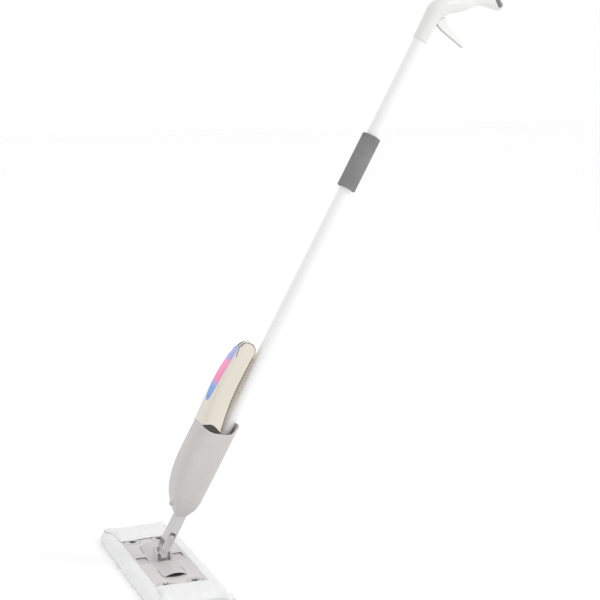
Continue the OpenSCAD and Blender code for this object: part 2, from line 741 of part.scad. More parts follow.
bottle_mid = -24;
dome_s = 396;
shoulder_s = rim_s + 1;
bottle_box_d = 49;
bottle_seat_d = 41;

function dome(s) = sqrt(max(0, 1 - pow(clamp01((s - dome_s) / (bottle_top_s - dome_s)), 2.4)));
function bottle_front_at(s) = let (
    foot = mix(-43.5, -46.8, clamp01((s - bottle_foot_s) / 30)),
    belly = 6 * sin(90 * clamp01((s - shoulder_s) / 85)),
    shoulder = 0.004 * pow(max(0, s - 345), 1.8))
    mix(bottle_mid, foot - belly + shoulder, dome(s));
function bottle_rear_at(s) = mix(bottle_mid, bottle_rear_y, dome(s));
function bottle_taper(s) = bottle_w / 2 - 0.11 * max(0, s - shoulder_s);
function bottle_half_w(s) = s < shoulder_s ? bottle_w / 2 - 2.5 :
    (bottle_taper(s) - 6) * dome(s) + 6 * clamp01((bottle_top_s - s) / 20);
label_s = 356;
label_half_l = 61;
label_half_w = 14;
bottle_steps = concat([for (s = [bottle_foot_s : 14 : shoulder_s - 4]) s], [shoulder_s - 0.01],
    [for (s = [shoulder_s : 12 : dome_s]) s],
    [for (t = [0 : 0.125 : 1]) mix(dome_s, bottle_top_s, sin(90 * t))]);

// Height of an outline point, drawn in by the wall near the dome's top
function bottle_height(s, inset) = s - inset * clamp01((s - 420) / 14);

module bottle_space(inset) {
    up = bottle_steps;
    down = [for (i = [len(up) - 2 : -1 : 0]) up[i]];
    intersection() {
        along_x(120) polygon(concat(
            [for (s = up) [bottle_front_at(s) + inset, bottle_height(s, inset)]],
            [for (s = down) [bottle_rear_at(s) - inset, bottle_height(s, inset)]]));
        along_y(200) polygon(concat(
            [for (s = up) [bottle_half_w(s) - inset, s]],
            [for (s = down) [inset - bottle_half_w(s), s]]));
        union() {
            translate([0, bottle_rear_y - bottle_box_d / 2, shoulder_s + inset]) linear_extrude(400)
                round_rect(bottle_w - 2 * inset, bottle_box_d - 2 * inset, 16 - inset);
            translate([0, bottle_rear_y - bottle_seat_d / 2, bottle_foot_s]) linear_extrude(100)
                round_rect(bottle_w - 5 - 2 * inset, bottle_seat_d - 2 * inset, 17 - inset);
        }
        slab(bottle_foot_s + inset, bottle_top_s - inset);
    }
}

module bottle_shell() color([0.93, 0.92, 0.88, 0.5]) on_pole() difference() {
    union() {
        bottle_space(0);
        translate([0, socket_y, cap_foot_s + 4]) cylinder(r = 11, h = bottle_foot_s - cap_foot_s);
    }
    bottle_space(bottle_wall);
    translate([0, socket_y, cap_foot_s]) cylinder(r = 9, h = 35);
}

module bottle_liquid() color([0.9, 0.87, 0.76]) difference() {
    on_pole() union() {
        bottle_space(bottle_wall + 0.25);
        translate([0, socket_y, cap_foot_s + 7]) cylinder(r = 8.7, h = 30);
    }
    translate([-100, 0, liquid_z]) cube([200, 400, 300]);
}

module bottle_label() color([0.45, 0.55, 0.9]) on_pole() difference() {
    intersection() {
        bottle_space(-0.4);
        translate([0, -56, label_s]) along_y(60) {
            for (i = [-1, 1]) translate([0, i * (label_half_l - label_half_w)]) circle(label_half_w);
            square([2 * label_half_w, 2 * (label_half_l - label_half_w)], center = true);
        }
    }
    bottle_space(-0.05);
}

module bottle_cap() color(white) on_pole() translate([0, socket_y, 0]) difference() {
    union() {
        translate([0, 0, cap_foot_s]) cylinder(r = cap_r - 0.6, h = cap_head_s - cap_foot_s);
        for (a = [0 : 15 : 345]) rotate(a) translate([cap_r - 0.8, 0, cap_foot_s + 2])
            cylinder(r = 0.7, h = cap_head_s - cap_foot_s - 4);
    }
    translate([0, 0, cap_foot_s + 2]) cylinder(r = 11.4, h = 40);
    translate([0, 0, cap_foot_s - 1]) cylinder(r = 5, h = 10);
}

module cap_seal() color(dark_grey) on_pole() translate([0, socket_y, cap_foot_s + 2.1]) ring(10.9, 3.1, 1.6);

handle_left();
handle_right();
handle_screws();
hang_slot_liner();
trigger();
trigger_pin();
upper_tube();
lower_tube();
tube_coupler();
foam_grip();
rod_guides();
push_rod();
rod_head();
housing_front();
housing_rear();
housing_screws();
bottle_socket();
socket_seal();
feed_hose();
pump_cylinder();
pump_piston();
piston_seal();
pump_spring();
inlet_valve();
outlet_valve();
nozzle_hose();
spray_nozzle();
neck();
neck_pin();
hinge_fork();
pitch_pin();
knuckle();
bottle_shell();
bottle_liquid();
bottle_label();
bottle_cap();
cap_seal();
joint_base();
roll_pin();
base_screws();
base_plate();
gripper_1();
gripper_2();
gripper_3();
gripper_4();
pad_sole();
pad_fringe();
pad_flap_left();
pad_flap_right();
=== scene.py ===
"""Visual model of a flat spray mop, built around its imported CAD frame. Metres, Z up.

The parts of the pole are placed in a frame of their own, as in the CAD source: s runs up the
pole from the pitch pin, y points to the user's side and x stays the head's long direction.
Lengths in that frame, and on the head, are written in millimetres.
"""

import json
import math
import random

import bmesh
import bpy
import numpy as np
from mathutils import Matrix, Vector, noise


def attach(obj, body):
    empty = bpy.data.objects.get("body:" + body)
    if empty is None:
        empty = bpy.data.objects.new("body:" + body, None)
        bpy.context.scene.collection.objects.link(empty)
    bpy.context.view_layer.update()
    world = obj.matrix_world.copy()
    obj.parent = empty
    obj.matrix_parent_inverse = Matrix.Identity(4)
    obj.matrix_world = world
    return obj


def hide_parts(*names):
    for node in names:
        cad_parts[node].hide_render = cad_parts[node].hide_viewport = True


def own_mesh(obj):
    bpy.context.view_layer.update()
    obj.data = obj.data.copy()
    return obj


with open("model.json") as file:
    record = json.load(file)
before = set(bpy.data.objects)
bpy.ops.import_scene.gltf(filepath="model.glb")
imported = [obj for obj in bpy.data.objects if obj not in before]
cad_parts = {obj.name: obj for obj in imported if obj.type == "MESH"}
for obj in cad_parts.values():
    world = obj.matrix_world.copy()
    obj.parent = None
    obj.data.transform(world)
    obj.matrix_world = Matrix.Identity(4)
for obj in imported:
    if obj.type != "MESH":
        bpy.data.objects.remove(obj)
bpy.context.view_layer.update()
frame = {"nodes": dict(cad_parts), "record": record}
NODES = frame["nodes"]
MM = 0.001

# ---------- frame of the pole ----------

LEAN = math.radians(28.9)
PIN_Z = 51
POLE = Matrix.Translation((0, 0, PIN_Z * MM)) @ Matrix.Rotation(-LEAN, 4, "X")
TUBE_Y = 9.4

# ---------- camera, floor and light ----------

CAMERA_AT = Vector((2.45418, -0.72096, 1.03276))
CAMERA_FORWARD = Vector((-0.90762, 0.37430, -0.19005))
CAMERA_FOV = math.radians(24.68)
FLOOR_HALF = 12.0


def add_camera():
    data = bpy.data.cameras.new("camera")
    data.sensor_width = 36
    data.angle = CAMERA_FOV
    camera = bpy.data.objects.new("camera", data)
    camera.location = CAMERA_AT
    camera.rotation_euler = CAMERA_FORWARD.to_track_quat("-Z", "Y").to_euler()
    bpy.context.scene.collection.objects.link(camera)
    bpy.context.scene.camera = camera


def add_area_light(name, place, aim, size, watts):
    data = bpy.data.lights.new(name, "AREA")
    data.shape = "DISK"
    data.size = size
    data.energy = watts
    light = bpy.data.objects.new(name, data)
    light.location = place
    light.rotation_euler = (Vector(aim) - Vector(place)).to_track_quat("-Z", "Y").to_euler()
    bpy.context.scene.collection.objects.link(light)


def add_world(colour, strength):
    world = bpy.data.worlds.new("studio")
    world.use_nodes = True
    background = world.node_tree.nodes["Background"]
    background.inputs["Color"].default_value = (*colour, 1)
    background.inputs["Strength"].default_value = strength
    bpy.context.scene.world = world


def add_floor(material):
    mesh = bpy.data.meshes.new("floor")
    corners = [(x * FLOOR_HALF, y * FLOOR_HALF, 0) for x, y in ((-1, -1), (1, -1), (1, 1), (-1, 1))]
    mesh.from_pydata(corners, [], [(0, 1, 2, 3)])
    floor = bpy.data.objects.new("floor", mesh)
    bpy.context.scene.collection.objects.link(floor)
    floor.data.materials.append(material)


# ---------- materials ----------


class Finish:
    """One node material: a Principled shader with small helpers for its textures."""

    def __init__(self, name, colour, rough, **constants):
        self.name = name
        self.material = bpy.data.materials.new(name)
        self.material.use_nodes = True
        self.tree = self.material.node_tree
        self.shader = self.tree.nodes["Principled BSDF"]
        self.colour = colour
        self.set("Base Color", (*colour, 1))
        self.set("Roughness", rough)
        for socket, value in constants.items():
            self.set(socket.replace("_", " "), value)
        self.place = self.node("ShaderNodeTexCoord").outputs["Object"]

    def set(self, socket, value):
        self.shader.inputs[socket].default_value = value

    def node(self, kind, **settings):
        made = self.tree.nodes.new(kind)
        for key, value in settings.items():
            setattr(made, key, value)
        return made

    def link(self, out, into):
        self.tree.links.new(out, into)

    def scaled(self, stretch):
        mapping = self.node("ShaderNodeMapping")
        mapping.inputs["Scale"].default_value = stretch
        self.link(self.place, mapping.inputs["Vector"])
        return mapping.outputs["Vector"]

    def noise(self, scale, detail=2.0, stretch=None):
        made = self.node("ShaderNodeTexNoise")
        made.inputs["Scale"].default_value = scale
        made.inputs["Detail"].default_value = detail
        self.link(self.scaled(stretch) if stretch else self.place, made.inputs["Vector"])
        return made.outputs["Fac"]

    def cells(self, scale):
        made = self.node("ShaderNodeTexVoronoi", feature="F1")
        made.inputs["Scale"].default_value = scale
        self.link(self.place, made.inputs["Vector"])
        return made.outputs["Distance"]

    def ramp(self, source, stops):
        made = self.node("ShaderNodeValToRGB")
        elements = made.color_ramp.elements
        for i, (at, colour) in enumerate(stops):
            stop = elements[i] if i < 2 else elements.new(at)
            stop.position = at
            stop.color = (*colour, 1)
        self.link(source, made.inputs["Fac"])
        return made.outputs["Color"]

    def spread(self, source, low, high):
        """The middle of a noise's range, stretched to run from low to high."""
        made = self.node("ShaderNodeMapRange")
        for socket, value in (("From Min", 0.3), ("From Max", 0.7), ("To Min", low), ("To Max", high)):
            made.inputs[socket].default_value = value
        self.link(source, made.inputs["Value"])
        return made.outputs["Result"]

    def mottle(self, scale, amount):
        """Slow light and dark drift of the base colour."""
        dark = tuple(c * (1 - amount) for c in self.colour)
        light = tuple(min(1, c * (1 + amount)) for c in self.colour)
        drift = self.ramp(self.noise(scale, 4), [(0.35, dark), (0.65, light)])
        self.link(drift, self.shader.inputs["Base Color"])
        return drift

    def wear(self, base, tint, share):
        """Edges rub to another tone; pointiness finds them."""
        edge = self.node("ShaderNodeNewGeometry").outputs["Pointiness"]
        worn = self.ramp(edge, [(0.52, (0, 0, 0)), (0.62, (share, share, share))])
        blend = self.node("ShaderNodeMix", data_type="RGBA")
        self.link(worn, blend.inputs["Factor"])
        self.link(base, blend.inputs["A"])
        blend.inputs["B"].default_value = (*tint, 1)
        self.link(blend.outputs["Result"], self.shader.inputs["Base Color"])

    def vary_rough(self, scale, low, high):
        self.link(self.spread(self.noise(scale, 3), low, high), self.shader.inputs["Roughness"])

    def bump(self, height, strength, distance):
        """Relief of a height in metres, added to any relief that is already there."""
        made = self.node("ShaderNodeBump")
        made.inputs["Strength"].default_value = strength
        made.inputs["Distance"].default_value = distance
        self.link(height, made.inputs["Height"])
        last = self.shader.inputs["Normal"]
        if last.is_linked:
            self.link(last.links[0].from_socket, made.inputs["Normal"])
        self.link(made.outputs["Normal"], last)


# Name, colour, roughness and the tone of rubbed edges
MOULDED = [
    ("handle_grey", (0.70, 0.70, 0.695), 0.38, (0.78, 0.78, 0.775)),
    ("housing_grey", (0.525, 0.51, 0.505), 0.36, (0.74, 0.73, 0.72)),
    ("joint_grey", (0.45, 0.44, 0.445), 0.42, (0.66, 0.65, 0.65)),
    ("plate_grey", (0.55, 0.535, 0.535), 0.46, (0.68, 0.67, 0.67)),
    ("trigger_white", (0.74, 0.74, 0.735), 0.35, (0.80, 0.80, 0.79)),
    # inner_plastic also gives the trigger's front edge its painted shade
    ("inner_plastic", (0.52, 0.52, 0.53), 0.45, None),
    ("cap_white", (0.85, 0.85, 0.84), 0.35, None),
    # A near-black standing for shade: painted shade over the rim and along the bottle's bead
    ("recess_dark", (0.045, 0.036, 0.028), 0.4, None),
]


def moulded_finish(name, colour, rough, edge):
    """Injection-moulded plastic: fine spark grain, a little drift and rubbed edges."""
    finish = Finish(name, colour, rough)
    base = finish.mottle(14, 0.03)
    if edge:
        finish.wear(base, edge, 0.6)
    finish.vary_rough(60, rough - 0.06, rough + 0.08)
    finish.bump(finish.noise(900, 2), 0.25, 0.0001)
    return finish


def rubber_finish(name, colour, rough):
    """Soft matt rubber with a fine grain."""
    finish = Finish(name, colour, rough)
    finish.mottle(40, 0.06)
    finish.vary_rough(90, rough - 0.08, rough + 0.1)
    finish.bump(finish.noise(700, 3), 0.3, 0.0002)
    return finish


def tube_finish():
    """Painted steel tube: smooth, under a thin clear coat."""
    finish = Finish("tube_white", (0.79, 0.79, 0.795), 0.24, Coat_Weight=0.35, Coat_Roughness=0.12)
    finish.mottle(9, 0.015)
    finish.vary_rough(45, 0.2, 0.3)
    finish.bump(finish.noise(420, 2), 0.12, 0.0001)
    return finish


def foam_finish():
    """Closed-cell foam: matt and pitted."""
    finish = Finish("foam", (0.20, 0.198, 0.20), 0.92)
    finish.mottle(35, 0.12)
    finish.bump(finish.noise(500, 5), 0.6, 0.0006)
    finish.bump(finish.cells(900), 0.5, 0.0004)
    return finish


def steel_finish():
    """Drawn steel with a grain along its length."""
    finish = Finish("steel", (0.62, 0.62, 0.63), 0.32, Metallic=1.0)
    finish.mottle(80, 0.06)
    finish.vary_rough(140, 0.22, 0.42)
    finish.bump(finish.noise(300, 3, (1, 1, 0.08)), 0.15, 0.0001)
    return finish


def hose_finish():
    """Milky silicone."""
    finish = Finish("hose_silicone", (0.78, 0.76, 0.70), 0.3, Transmission_Weight=0.35, IOR=1.41)
    finish.mottle(60, 0.05)
    finish.bump(finish.noise(400), 0.15, 0.0001)
    return finish


def clear_finish():
    """Clear blown plastic, which takes the cream tone of the liquid behind it."""
    finish = Finish("clear_plastic", (0.75, 0.705, 0.615), 0.14, Transmission_Weight=0.1, Coat_Weight=0.4)
    finish.mottle(7, 0.03)
    finish.vary_rough(30, 0.1, 0.18)
    finish.bump(finish.noise(50, 2), 0.05, 0.0006)
    return finish


def liquid_finish():
    """Cloudy cream liquid."""
    finish = Finish("liquid", (0.80, 0.765, 0.68), 0.18, Subsurface_Weight=0.25, Subsurface_Scale=0.01)
    finish.mottle(8, 0.03)
    finish.vary_rough(20, 0.14, 0.26)
    return finish


def rib_finish():
    """Moulded ribs in painted shade: a dark brown standing for shade seen through the strip, darker painted
    shade in the grooves and painted highlight on their crests.
    """
    finish = Finish("rib_painted_shade", (0.34, 0.28, 0.22), 0.3, Coat_Weight=0.3)
    # Bands along the height: painted shade in the grooves, painted highlight on the crests
    bands = finish.node("ShaderNodeTexWave", bands_direction="Z")
    bands.inputs["Scale"].default_value = 112
    bands.inputs["Distortion"].default_value = 0.6
    finish.link(finish.place, bands.inputs["Vector"])
    tones = finish.ramp(bands.outputs["Fac"], [(0.15, (0.15, 0.115, 0.085)), (0.7, (0.52, 0.45, 0.36))])
    finish.link(tones, finish.shader.inputs["Base Color"])
    finish.vary_rough(60, 0.24, 0.38)
    finish.bump(finish.noise(500, 2), 0.1, 0.0001)
    return finish


# Share of the label's height and colour there, from its foot up
LABEL_BANDS = [
    (0.1, (0.05, 0.20, 0.66)), (0.36, (0.13, 0.32, 0.78)), (0.45, (0.50, 0.28, 0.68)),
    (0.52, (0.88, 0.17, 0.42)), (0.78, (0.90, 0.26, 0.50)), (0.86, (0.34, 0.34, 0.76)),
    (1.0, (0.30, 0.40, 0.80)),
]


def label_finish():
    """A glossy film with soft colour bands: blue at the foot, pink, then pale violet."""
    finish = Finish("label_film", (0.45, 0.5, 0.8), 0.25, Coat_Weight=0.4, Coat_Roughness=0.1)
    height = finish.node("ShaderNodeSeparateXYZ")
    finish.link(finish.place, height.inputs["Vector"])
    rise = finish.node("ShaderNodeMapRange")
    rise.inputs["From Min"].default_value = 0.33
    rise.inputs["From Max"].default_value = 0.44
    finish.link(height.outputs["Z"], rise.inputs["Value"])
    stir = finish.node("ShaderNodeMath", operation="MULTIPLY_ADD")
    finish.link(finish.noise(38, 1), stir.inputs[0])
    stir.inputs[1].default_value = 0.14
    finish.link(rise.outputs["Result"], stir.inputs[2])
    bands = finish.ramp(stir.outputs["Value"], LABEL_BANDS)
    finish.link(bands, finish.shader.inputs["Base Color"])
    finish.vary_rough(60, 0.2, 0.32)
    finish.bump(finish.noise(300, 2), 0.05, 0.0001)
    return finish


def fabric_finish():
    """Microfibre pile: matt, with a sheen and two scales of nap."""
    finish = Finish("pad_fabric", (0.80, 0.80, 0.805), 0.95, Sheen_Weight=0.3, Sheen_Roughness=0.5)
    finish.mottle(60, 0.02)
    finish.bump(finish.noise(330, 3), 0.5, 0.0008)
    finish.bump(finish.cells(520), 0.5, 0.0008)
    return finish


def make_finishes():
    """Every finish of the mop, by its name."""
    made = [moulded_finish(*row) for row in MOULDED]
    # dark_rubber also serves as painted shade: in the mouths, the plate's shadow lines and the comb's gaps
    made.append(rubber_finish("dark_rubber", (0.09, 0.09, 0.095), 0.7))
    made.append(rubber_finish("gripper_rubber", (0.60, 0.59, 0.585), 0.58))
    for make in (tube_finish, foam_finish, steel_finish, hose_finish, clear_finish, liquid_finish,
                 rib_finish, label_finish, fabric_finish):
        made.append(make())
    return {finish.name: finish for finish in made}


FINISHES = make_finishes()
# Finishes whose slot in the record has another name
RECORD_SLOTS = {"rib_painted_shade": "clear_plastic", "recess_dark": "clear_plastic"}
RECORD_SLOTS.update({name: name for name in FINISHES if name not in RECORD_SLOTS})
# CAD nodes that match their neighbours rather than their slot
REPAINTED = {"neck": "joint_grey", "trigger_pin": "handle_grey"}


def paint_cad_nodes():
    for part in frame["record"]["subparts"]:
        name = REPAINTED.get(part["node"], part["material_slot"])
        materials = NODES[part["node"]].data.materials
        materials.clear()
        materials.append(FINISHES[name].material)


# ---------- curves and places ----------

X_AXIS = Vector((1, 0, 0))


def clamp(t, low=0.0, high=1.0):
    return max(low, min(high, t))


def mix(a, b, t):
    return a + (b - a) * t


def ease_out(t, power):
    return 1 - (1 - clamp(t)) ** power


def smooth(t):
    t = clamp(t)
    return t * t * (3 - 2 * t)


def turns(count, offset=0.0):
    """Equal angles once round, the first one offset steps on."""
    return [2 * math.pi * (j + offset) / count for j in range(count)]


def superellipse(angle, half_w, half_d, power):
    c, s = math.cos(angle), math.sin(angle)
    return (half_w * math.copysign(abs(c) ** (2 / power), c),
            half_d * math.copysign(abs(s) ** (2 / power), s))


def spline(points, share):
    """A point of a Catmull-Rom curve through points, at share 0 to 1 along their list."""
    at = clamp(share) * (len(points) - 1)
    i = min(int(at), len(points) - 2)
    t = at - i
    a, b = np.array(points[max(i - 1, 0)]), np.array(points[i])
    c, d = np.array(points[i + 1]), np.array(points[min(i + 2, len(points) - 1)])
    return 0.5 * (2 * b + (c - a) * t + (2 * a - 5 * b + 4 * c - d) * t * t
                  + (3 * b - 3 * c + d - a) * t ** 3)


def heading(points, share, step):
    """The direction of a spline at share, taken over a step to each side."""
    return spline(points, min(1, share + step)) - spline(points, max(0, share - step))


def on_pole(x, y, s):
    """A point of the pole's frame as a place in metres."""
    return POLE @ Vector((x * MM, y * MM, s * MM))


def on_head(x, y, z):
    """A point of the head, above the floor, as a place in metres."""
    return Vector((x * MM, y * MM, z * MM))


def round_ring(y, s, r, sides=96):
    """A circle of points square to the pole."""
    return [on_pole(r * math.cos(a), y + r * math.sin(a), s) for a in turns(sides, 0.5)]


def ring_about(centre, along, r, sides):
    """A circle of points about a line in the pole's y-s plane."""
    across = along.cross(X_AXIS)
    return [on_pole(*(centre + r * (math.cos(a) * across + Vector((math.sin(a), 0, 0)))))
            for a in turns(sides)]


def cross_ring(y, s, angle, half_w, half_d, power, sides):
    """A superellipse of points square to a line that runs at an angle in the y-s plane."""
    ring = []
    for a in turns(sides, 0.5):
        across, up = superellipse(a, half_w, half_d, power)
        ring.append(on_pole(across, y - math.sin(angle) * up, s + math.cos(angle) * up))
    return ring


# ---------- meshes ----------

BOX_FACES = ((0, 1, 3, 2), (4, 6, 7, 5), (0, 2, 6, 4), (1, 5, 7, 3), (0, 4, 5, 1), (2, 3, 7, 6))


def plain_mesh(name, points, faces):
    """An object without a finish, its doubles merged and its faces turned outward."""
    mesh = bpy.data.meshes.new(name)
    mesh.from_pydata(points, [], faces)
    work = bmesh.new()
    work.from_mesh(mesh)
    bmesh.ops.remove_doubles(work, verts=work.verts, dist=1e-6)
    bmesh.ops.dissolve_degenerate(work, edges=work.edges, dist=1e-6)
    bmesh.ops.recalc_face_normals(work, faces=work.faces)
    work.to_mesh(mesh)
    work.free()
    obj = bpy.data.objects.new(name, mesh)
    bpy.context.scene.collection.objects.link(obj)
    return obj


def finish_piece(obj, slot, body, sharp=35):
    """Gives a piece its material, smooth shading up to an angle, and its body."""
    obj.data.materials.clear()
    obj.data.materials.append(FINISHES[slot].material)
    obj.data.shade_smooth()
    obj.data.set_sharp_from_angle(angle=math.radians(sharp))
    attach(obj, body)


def add_mesh(name, points, faces, finish, body, sharp=35):
    obj = plain_mesh(name, points, faces)
    finish_piece(obj, finish, body, sharp)
    return obj


def shell_faces(rows, cols, wrap, closed_top):
    """Faces between two equal grids of points, the second the inner side of the first."""
    half = rows * cols
    last = cols if wrap else cols - 1
    faces = []
    for i in range(rows - 1):
        for j in range(last):
            a, b = i * cols + j, i * cols + (j + 1) % cols
            faces.append((a, b, b + cols, a + cols))
            faces.append((half + a + cols, half + b + cols, half + b, half + a))
    for j in range(last):
        a, b = j, (j + 1) % cols
        faces.append((b, a, half + a, half + b))
        if not closed_top:
            a, b = a + (rows - 1) * cols, b + (rows - 1) * cols
            faces.append((a, b, half + b, half + a))
    if not wrap:
        for i in range(rows - 1):
            a, b = i * cols, (i + 1) * cols
            faces.append((a, b, half + b, half + a))
            a, b = a + cols - 1, b + cols - 1
            faces.append((b, a, half + a, half + b))
    return faces


def add_shell(name, outer, inner, finish, body, wrap=False, closed_top=False):
    """A wall between two grids; a closed top means that the grids' last rows shrink to a line."""
    points = [p for row in outer + inner for p in row]
    faces = shell_faces(len(outer), len(outer[0]), wrap, closed_top)
    return add_mesh(name, points, faces, finish, body)


def ring_faces(count, n, closed=False):
    """Faces between rings of n points; closed joins the last ring to the first."""
    faces = []
    for i in range(count if closed else count - 1):
        a, b = i * n, (i + 1) % count * n
        faces += [(a + j, a + (j + 1) % n, b + (j + 1) % n, b + j) for j in range(n)]
    return faces


def add_lathed(name, rings, finish, body, sharp=35):
    """A body whose rings run once round its own section, back to the first."""
    points = [p for ring in rings for p in ring]
    faces = ring_faces(len(rings), len(rings[0]), closed=True)
    return add_mesh(name, points, faces, finish, body, sharp)


def solid_through(rings):
    """Points and faces of a solid through equal rings of points, closed at both ends."""
    n = len(rings[0])
    points = [p for ring in rings for p in ring]
    ends = [tuple(range(n)), tuple(range(len(points) - n, len(points)))]
    return points, ring_faces(len(rings), n) + ends


def add_solid(name, rings, finish, body):
    return add_mesh(name, *solid_through(rings), finish, body)


def prism_rings(outline, low, high, place):
    """An outline of (u, v) points pushed from low to high; place turns (w, u, v) into a point."""
    return [[place(w, u, v) for u, v in outline] for w in (low, high)]


def add_boxes(name, boxes, finish, body):
    """Separate boxes in one piece, each given by its eight corners."""
    points = [p for box in boxes for p in box]
    faces = [[8 * i + q for q in quad] for i in range(len(boxes)) for quad in BOX_FACES]
    return add_mesh(name, points, faces, finish, body, 30)


def apply_modifiers(obj):
    bpy.context.view_layer.update()
    evaluated = obj.evaluated_get(bpy.context.evaluated_depsgraph_get())
    mesh = bpy.data.meshes.new_from_object(evaluated)
    obj.modifiers.clear()
    obj.data = mesh


def carve(obj, rings, operation="DIFFERENCE"):
    """Boolean of obj with the solid through rings."""
    cutter = plain_mesh("cutter", *solid_through(rings))
    modifier = obj.modifiers.new("carve", "BOOLEAN")
    modifier.object = cutter
    modifier.operation = operation
    modifier.solver = "MANIFOLD"
    apply_modifiers(obj)
    bpy.data.objects.remove(cutter)


def round_edges(obj, width):
    modifier = obj.modifiers.new("round", "BEVEL")
    modifier.width = width
    modifier.segments = 3
    modifier.limit_method = "ANGLE"
    modifier.angle_limit = math.radians(40)
    apply_modifiers(obj)


def remesh(obj, size, smooth_steps):
    """Voxels of a size in millimetres, then a few rounds of smoothing."""
    modifier = obj.modifiers.new("remesh", "REMESH")
    modifier.mode = "VOXEL"
    modifier.voxel_size = size * MM
    soften = obj.modifiers.new("soften", "SMOOTH")
    soften.factor = 0.5
    soften.iterations = smooth_steps
    apply_modifiers(obj)


def subdivide(obj):
    modifier = obj.modifiers.new("subdivide", "SUBSURF")
    modifier.levels = 1
    modifier.render_levels = 1
    apply_modifiers(obj)


def keep_largest(obj):
    """Drops the small closed pockets that a remesh leaves inside the main body."""
    work = bmesh.new()
    work.from_mesh(obj.data)
    left, parts = set(work.verts), []
    while left:
        queue = [left.pop()]
        part = set(queue)
        while queue:
            for edge in queue.pop().link_edges:
                for vert in edge.verts:
                    if vert in left:
                        left.remove(vert)
                        part.add(vert)
                        queue.append(vert)
        parts.append(part)
    parts.sort(key=len)
    bmesh.ops.delete(work, geom=[v for part in parts[:-1] for v in part], context="VERTS")
    work.to_mesh(obj.data)
    work.free()


# ---------- housing ----------

FOOT_S = 67
FOOT_FRONT_Y, FOOT_REAR_Y, FOOT_HALF_W = -6.6, 15.4, 16.4
MOUTH_FRONT_Y, MOUTH_REAR_Y, MOUTH_HALF_W = -51, 24.8, 38
NECK_HOLE_Y, NECK_HOLE_HALF_W, NECK_HOLE_HALF_D = 4.35, 14.3, 9.3
SEAM_Y = 9.4
SEAM_GAP = 0.15
RIM_S = 249
HOUSING_WALL = 2.5
HOUSING_INNER_S = 69.4
HOUSING_COLUMNS = 72
GROOVE_S = 101
GROOVE_DEPTH = 0.45
EDGE_CURL = 0.7
HOUSING_LEVELS = [67.4, 68.6] + [70 + 4.5 * i for i in range(7)] + [100.2, GROOVE_S, 101.8]
HOUSING_LEVELS += list(range(106, 228, 6))
RIM_RISE = [0.2, 0.4, 0.6, 0.8, 0.92, 1.0, 1.0]
# The rim's height at each y
RIM_LINE = [
    (-51, 250), (-43.6, 246.8), (-34.7, 244.8), (-24, 245.6), (-13.6, 248.6), (0, 252), (8, 255.5),
    (15, 262.4), (18, 271.5), (20.6, 277), (24.8, 278.5),
]
SCREW_X = 21
SCREW_S = (112, 226)
SCREW_R = 3
FLOOR_S, FLOOR_THICK = 159.9, 2.4

NOZZLE_TILT = math.radians(37)
NOZZLE_AT = Vector((0, -24, 82.5))
NOZZLE_OUT = Vector((0, -math.cos(NOZZLE_TILT), -math.sin(NOZZLE_TILT)))
NOZZLE_HOLE_R = 5.1
# Radius and distance along the nozzle, out along its skin and back through its bore
NOZZLE_PROFILE = [
    (1, -10), (5, -10), (5, 0.6), (4.8, 1.0), (4.1, 1.2), (4.0, 2.6), (3.7, 3.0), (2.4, 3.0),
    (1.3, 2.0), (1.0, 0.8), (1.0, -2), (1, -8),
]


def housing_half_w(s):
    return mix(FOOT_HALF_W, MOUTH_HALF_W, ease_out((s - FOOT_S) / 133, 3))


def rim_at(y):
    """The rim dips a little at the sides and sweeps up behind the tube."""
    places, heights = zip(*RIM_LINE)
    return sum(np.interp(y + d, places, heights) for d in (-3, -1.5, 0, 1.5, 3)) / 5


def foot_lift(y, s):
    """The foot is cut at a slant: it rises towards the user's side."""
    return 9 * clamp((y - FOOT_FRONT_Y) / 22) * (1 - clamp((s - FOOT_S) / 24))


def housing_point(s, share, inset, front):
    """A point of the front or rear half's section, from one seam to the other."""
    near = mix(FOOT_FRONT_Y, MOUTH_FRONT_Y, ease_out((s - FOOT_S) / 164, 4)) + inset
    far = mix(FOOT_REAR_Y, MOUTH_REAR_Y, ease_out((s - 72) / 46, 2)) - inset
    mid, half_d = (near + far) / 2, (far - near) / 2
    power = mix(6, 3.6, clamp((s - FOOT_S) / 60))
    seam = SEAM_Y + (-SEAM_GAP if front else SEAM_GAP)
    start = math.asin(clamp((seam - mid) / half_d, 0, 0.999) ** (power / 2))
    sweep = -math.pi - 2 * start if front else math.pi - 2 * start
    x, y = superellipse(start + sweep * share, housing_half_w(s) - inset, half_d, power)
    return x, mid + y


def foot_rows(shares, depth, floor_s, front):
    """The hole that the neck passes through, then the foot's edge outside it."""
    rows = []
    for hole, s in ((True, 67.2), (False, 67.0)):
        row = []
        for q in shares:
            x, y = housing_point(FOOT_S, q, 1.4 + depth, front)
            if hole:
                angle = math.atan2(y - NECK_HOLE_Y, x)
                x, y = superellipse(angle, NECK_HOLE_HALF_W, NECK_HOLE_HALF_D, 8)
                y += NECK_HOLE_Y
            row.append(on_pole(x, y, max(s, floor_s) + foot_lift(y, s)))
        rows.append(row)
    return rows


def wall_rows(shares, depth, floor_s, front):
    """The wall up to the rim's lowest point, with its seam groove on the outside."""
    rows = []
    for s in HOUSING_LEVELS:
        dent = GROOVE_DEPTH if s == GROOVE_S and depth == 0 else 0
        curl = EDGE_CURL if s == HOUSING_LEVELS[0] else 0
        row = [housing_point(s, q, depth + dent + curl, front) for q in shares]
        rows.append([on_pole(x, y, max(s, floor_s) + foot_lift(y, s)) for x, y in row])
    return rows


def rim_rows(shares, depth, front):
    """The wall's rise to the swept rim, whose edge is rounded."""
    rims = [rim_at(housing_point(RIM_S, q, 0, front)[1]) for q in shares]
    last = len(RIM_RISE) - 1
    rows = []
    for k, u in enumerate(RIM_RISE):
        curl = EDGE_CURL if k == last else 0
        drop = 0.6 if k == last - 1 else 0
        row = []
        for q, rim in zip(shares, rims):
            s = mix(HOUSING_LEVELS[-1], rim, u) - drop
            x, y = housing_point(s, q, depth + (curl if depth == 0 else -curl), front)
            row.append(on_pole(x, y, s))
        rows.append(row)
    return rows


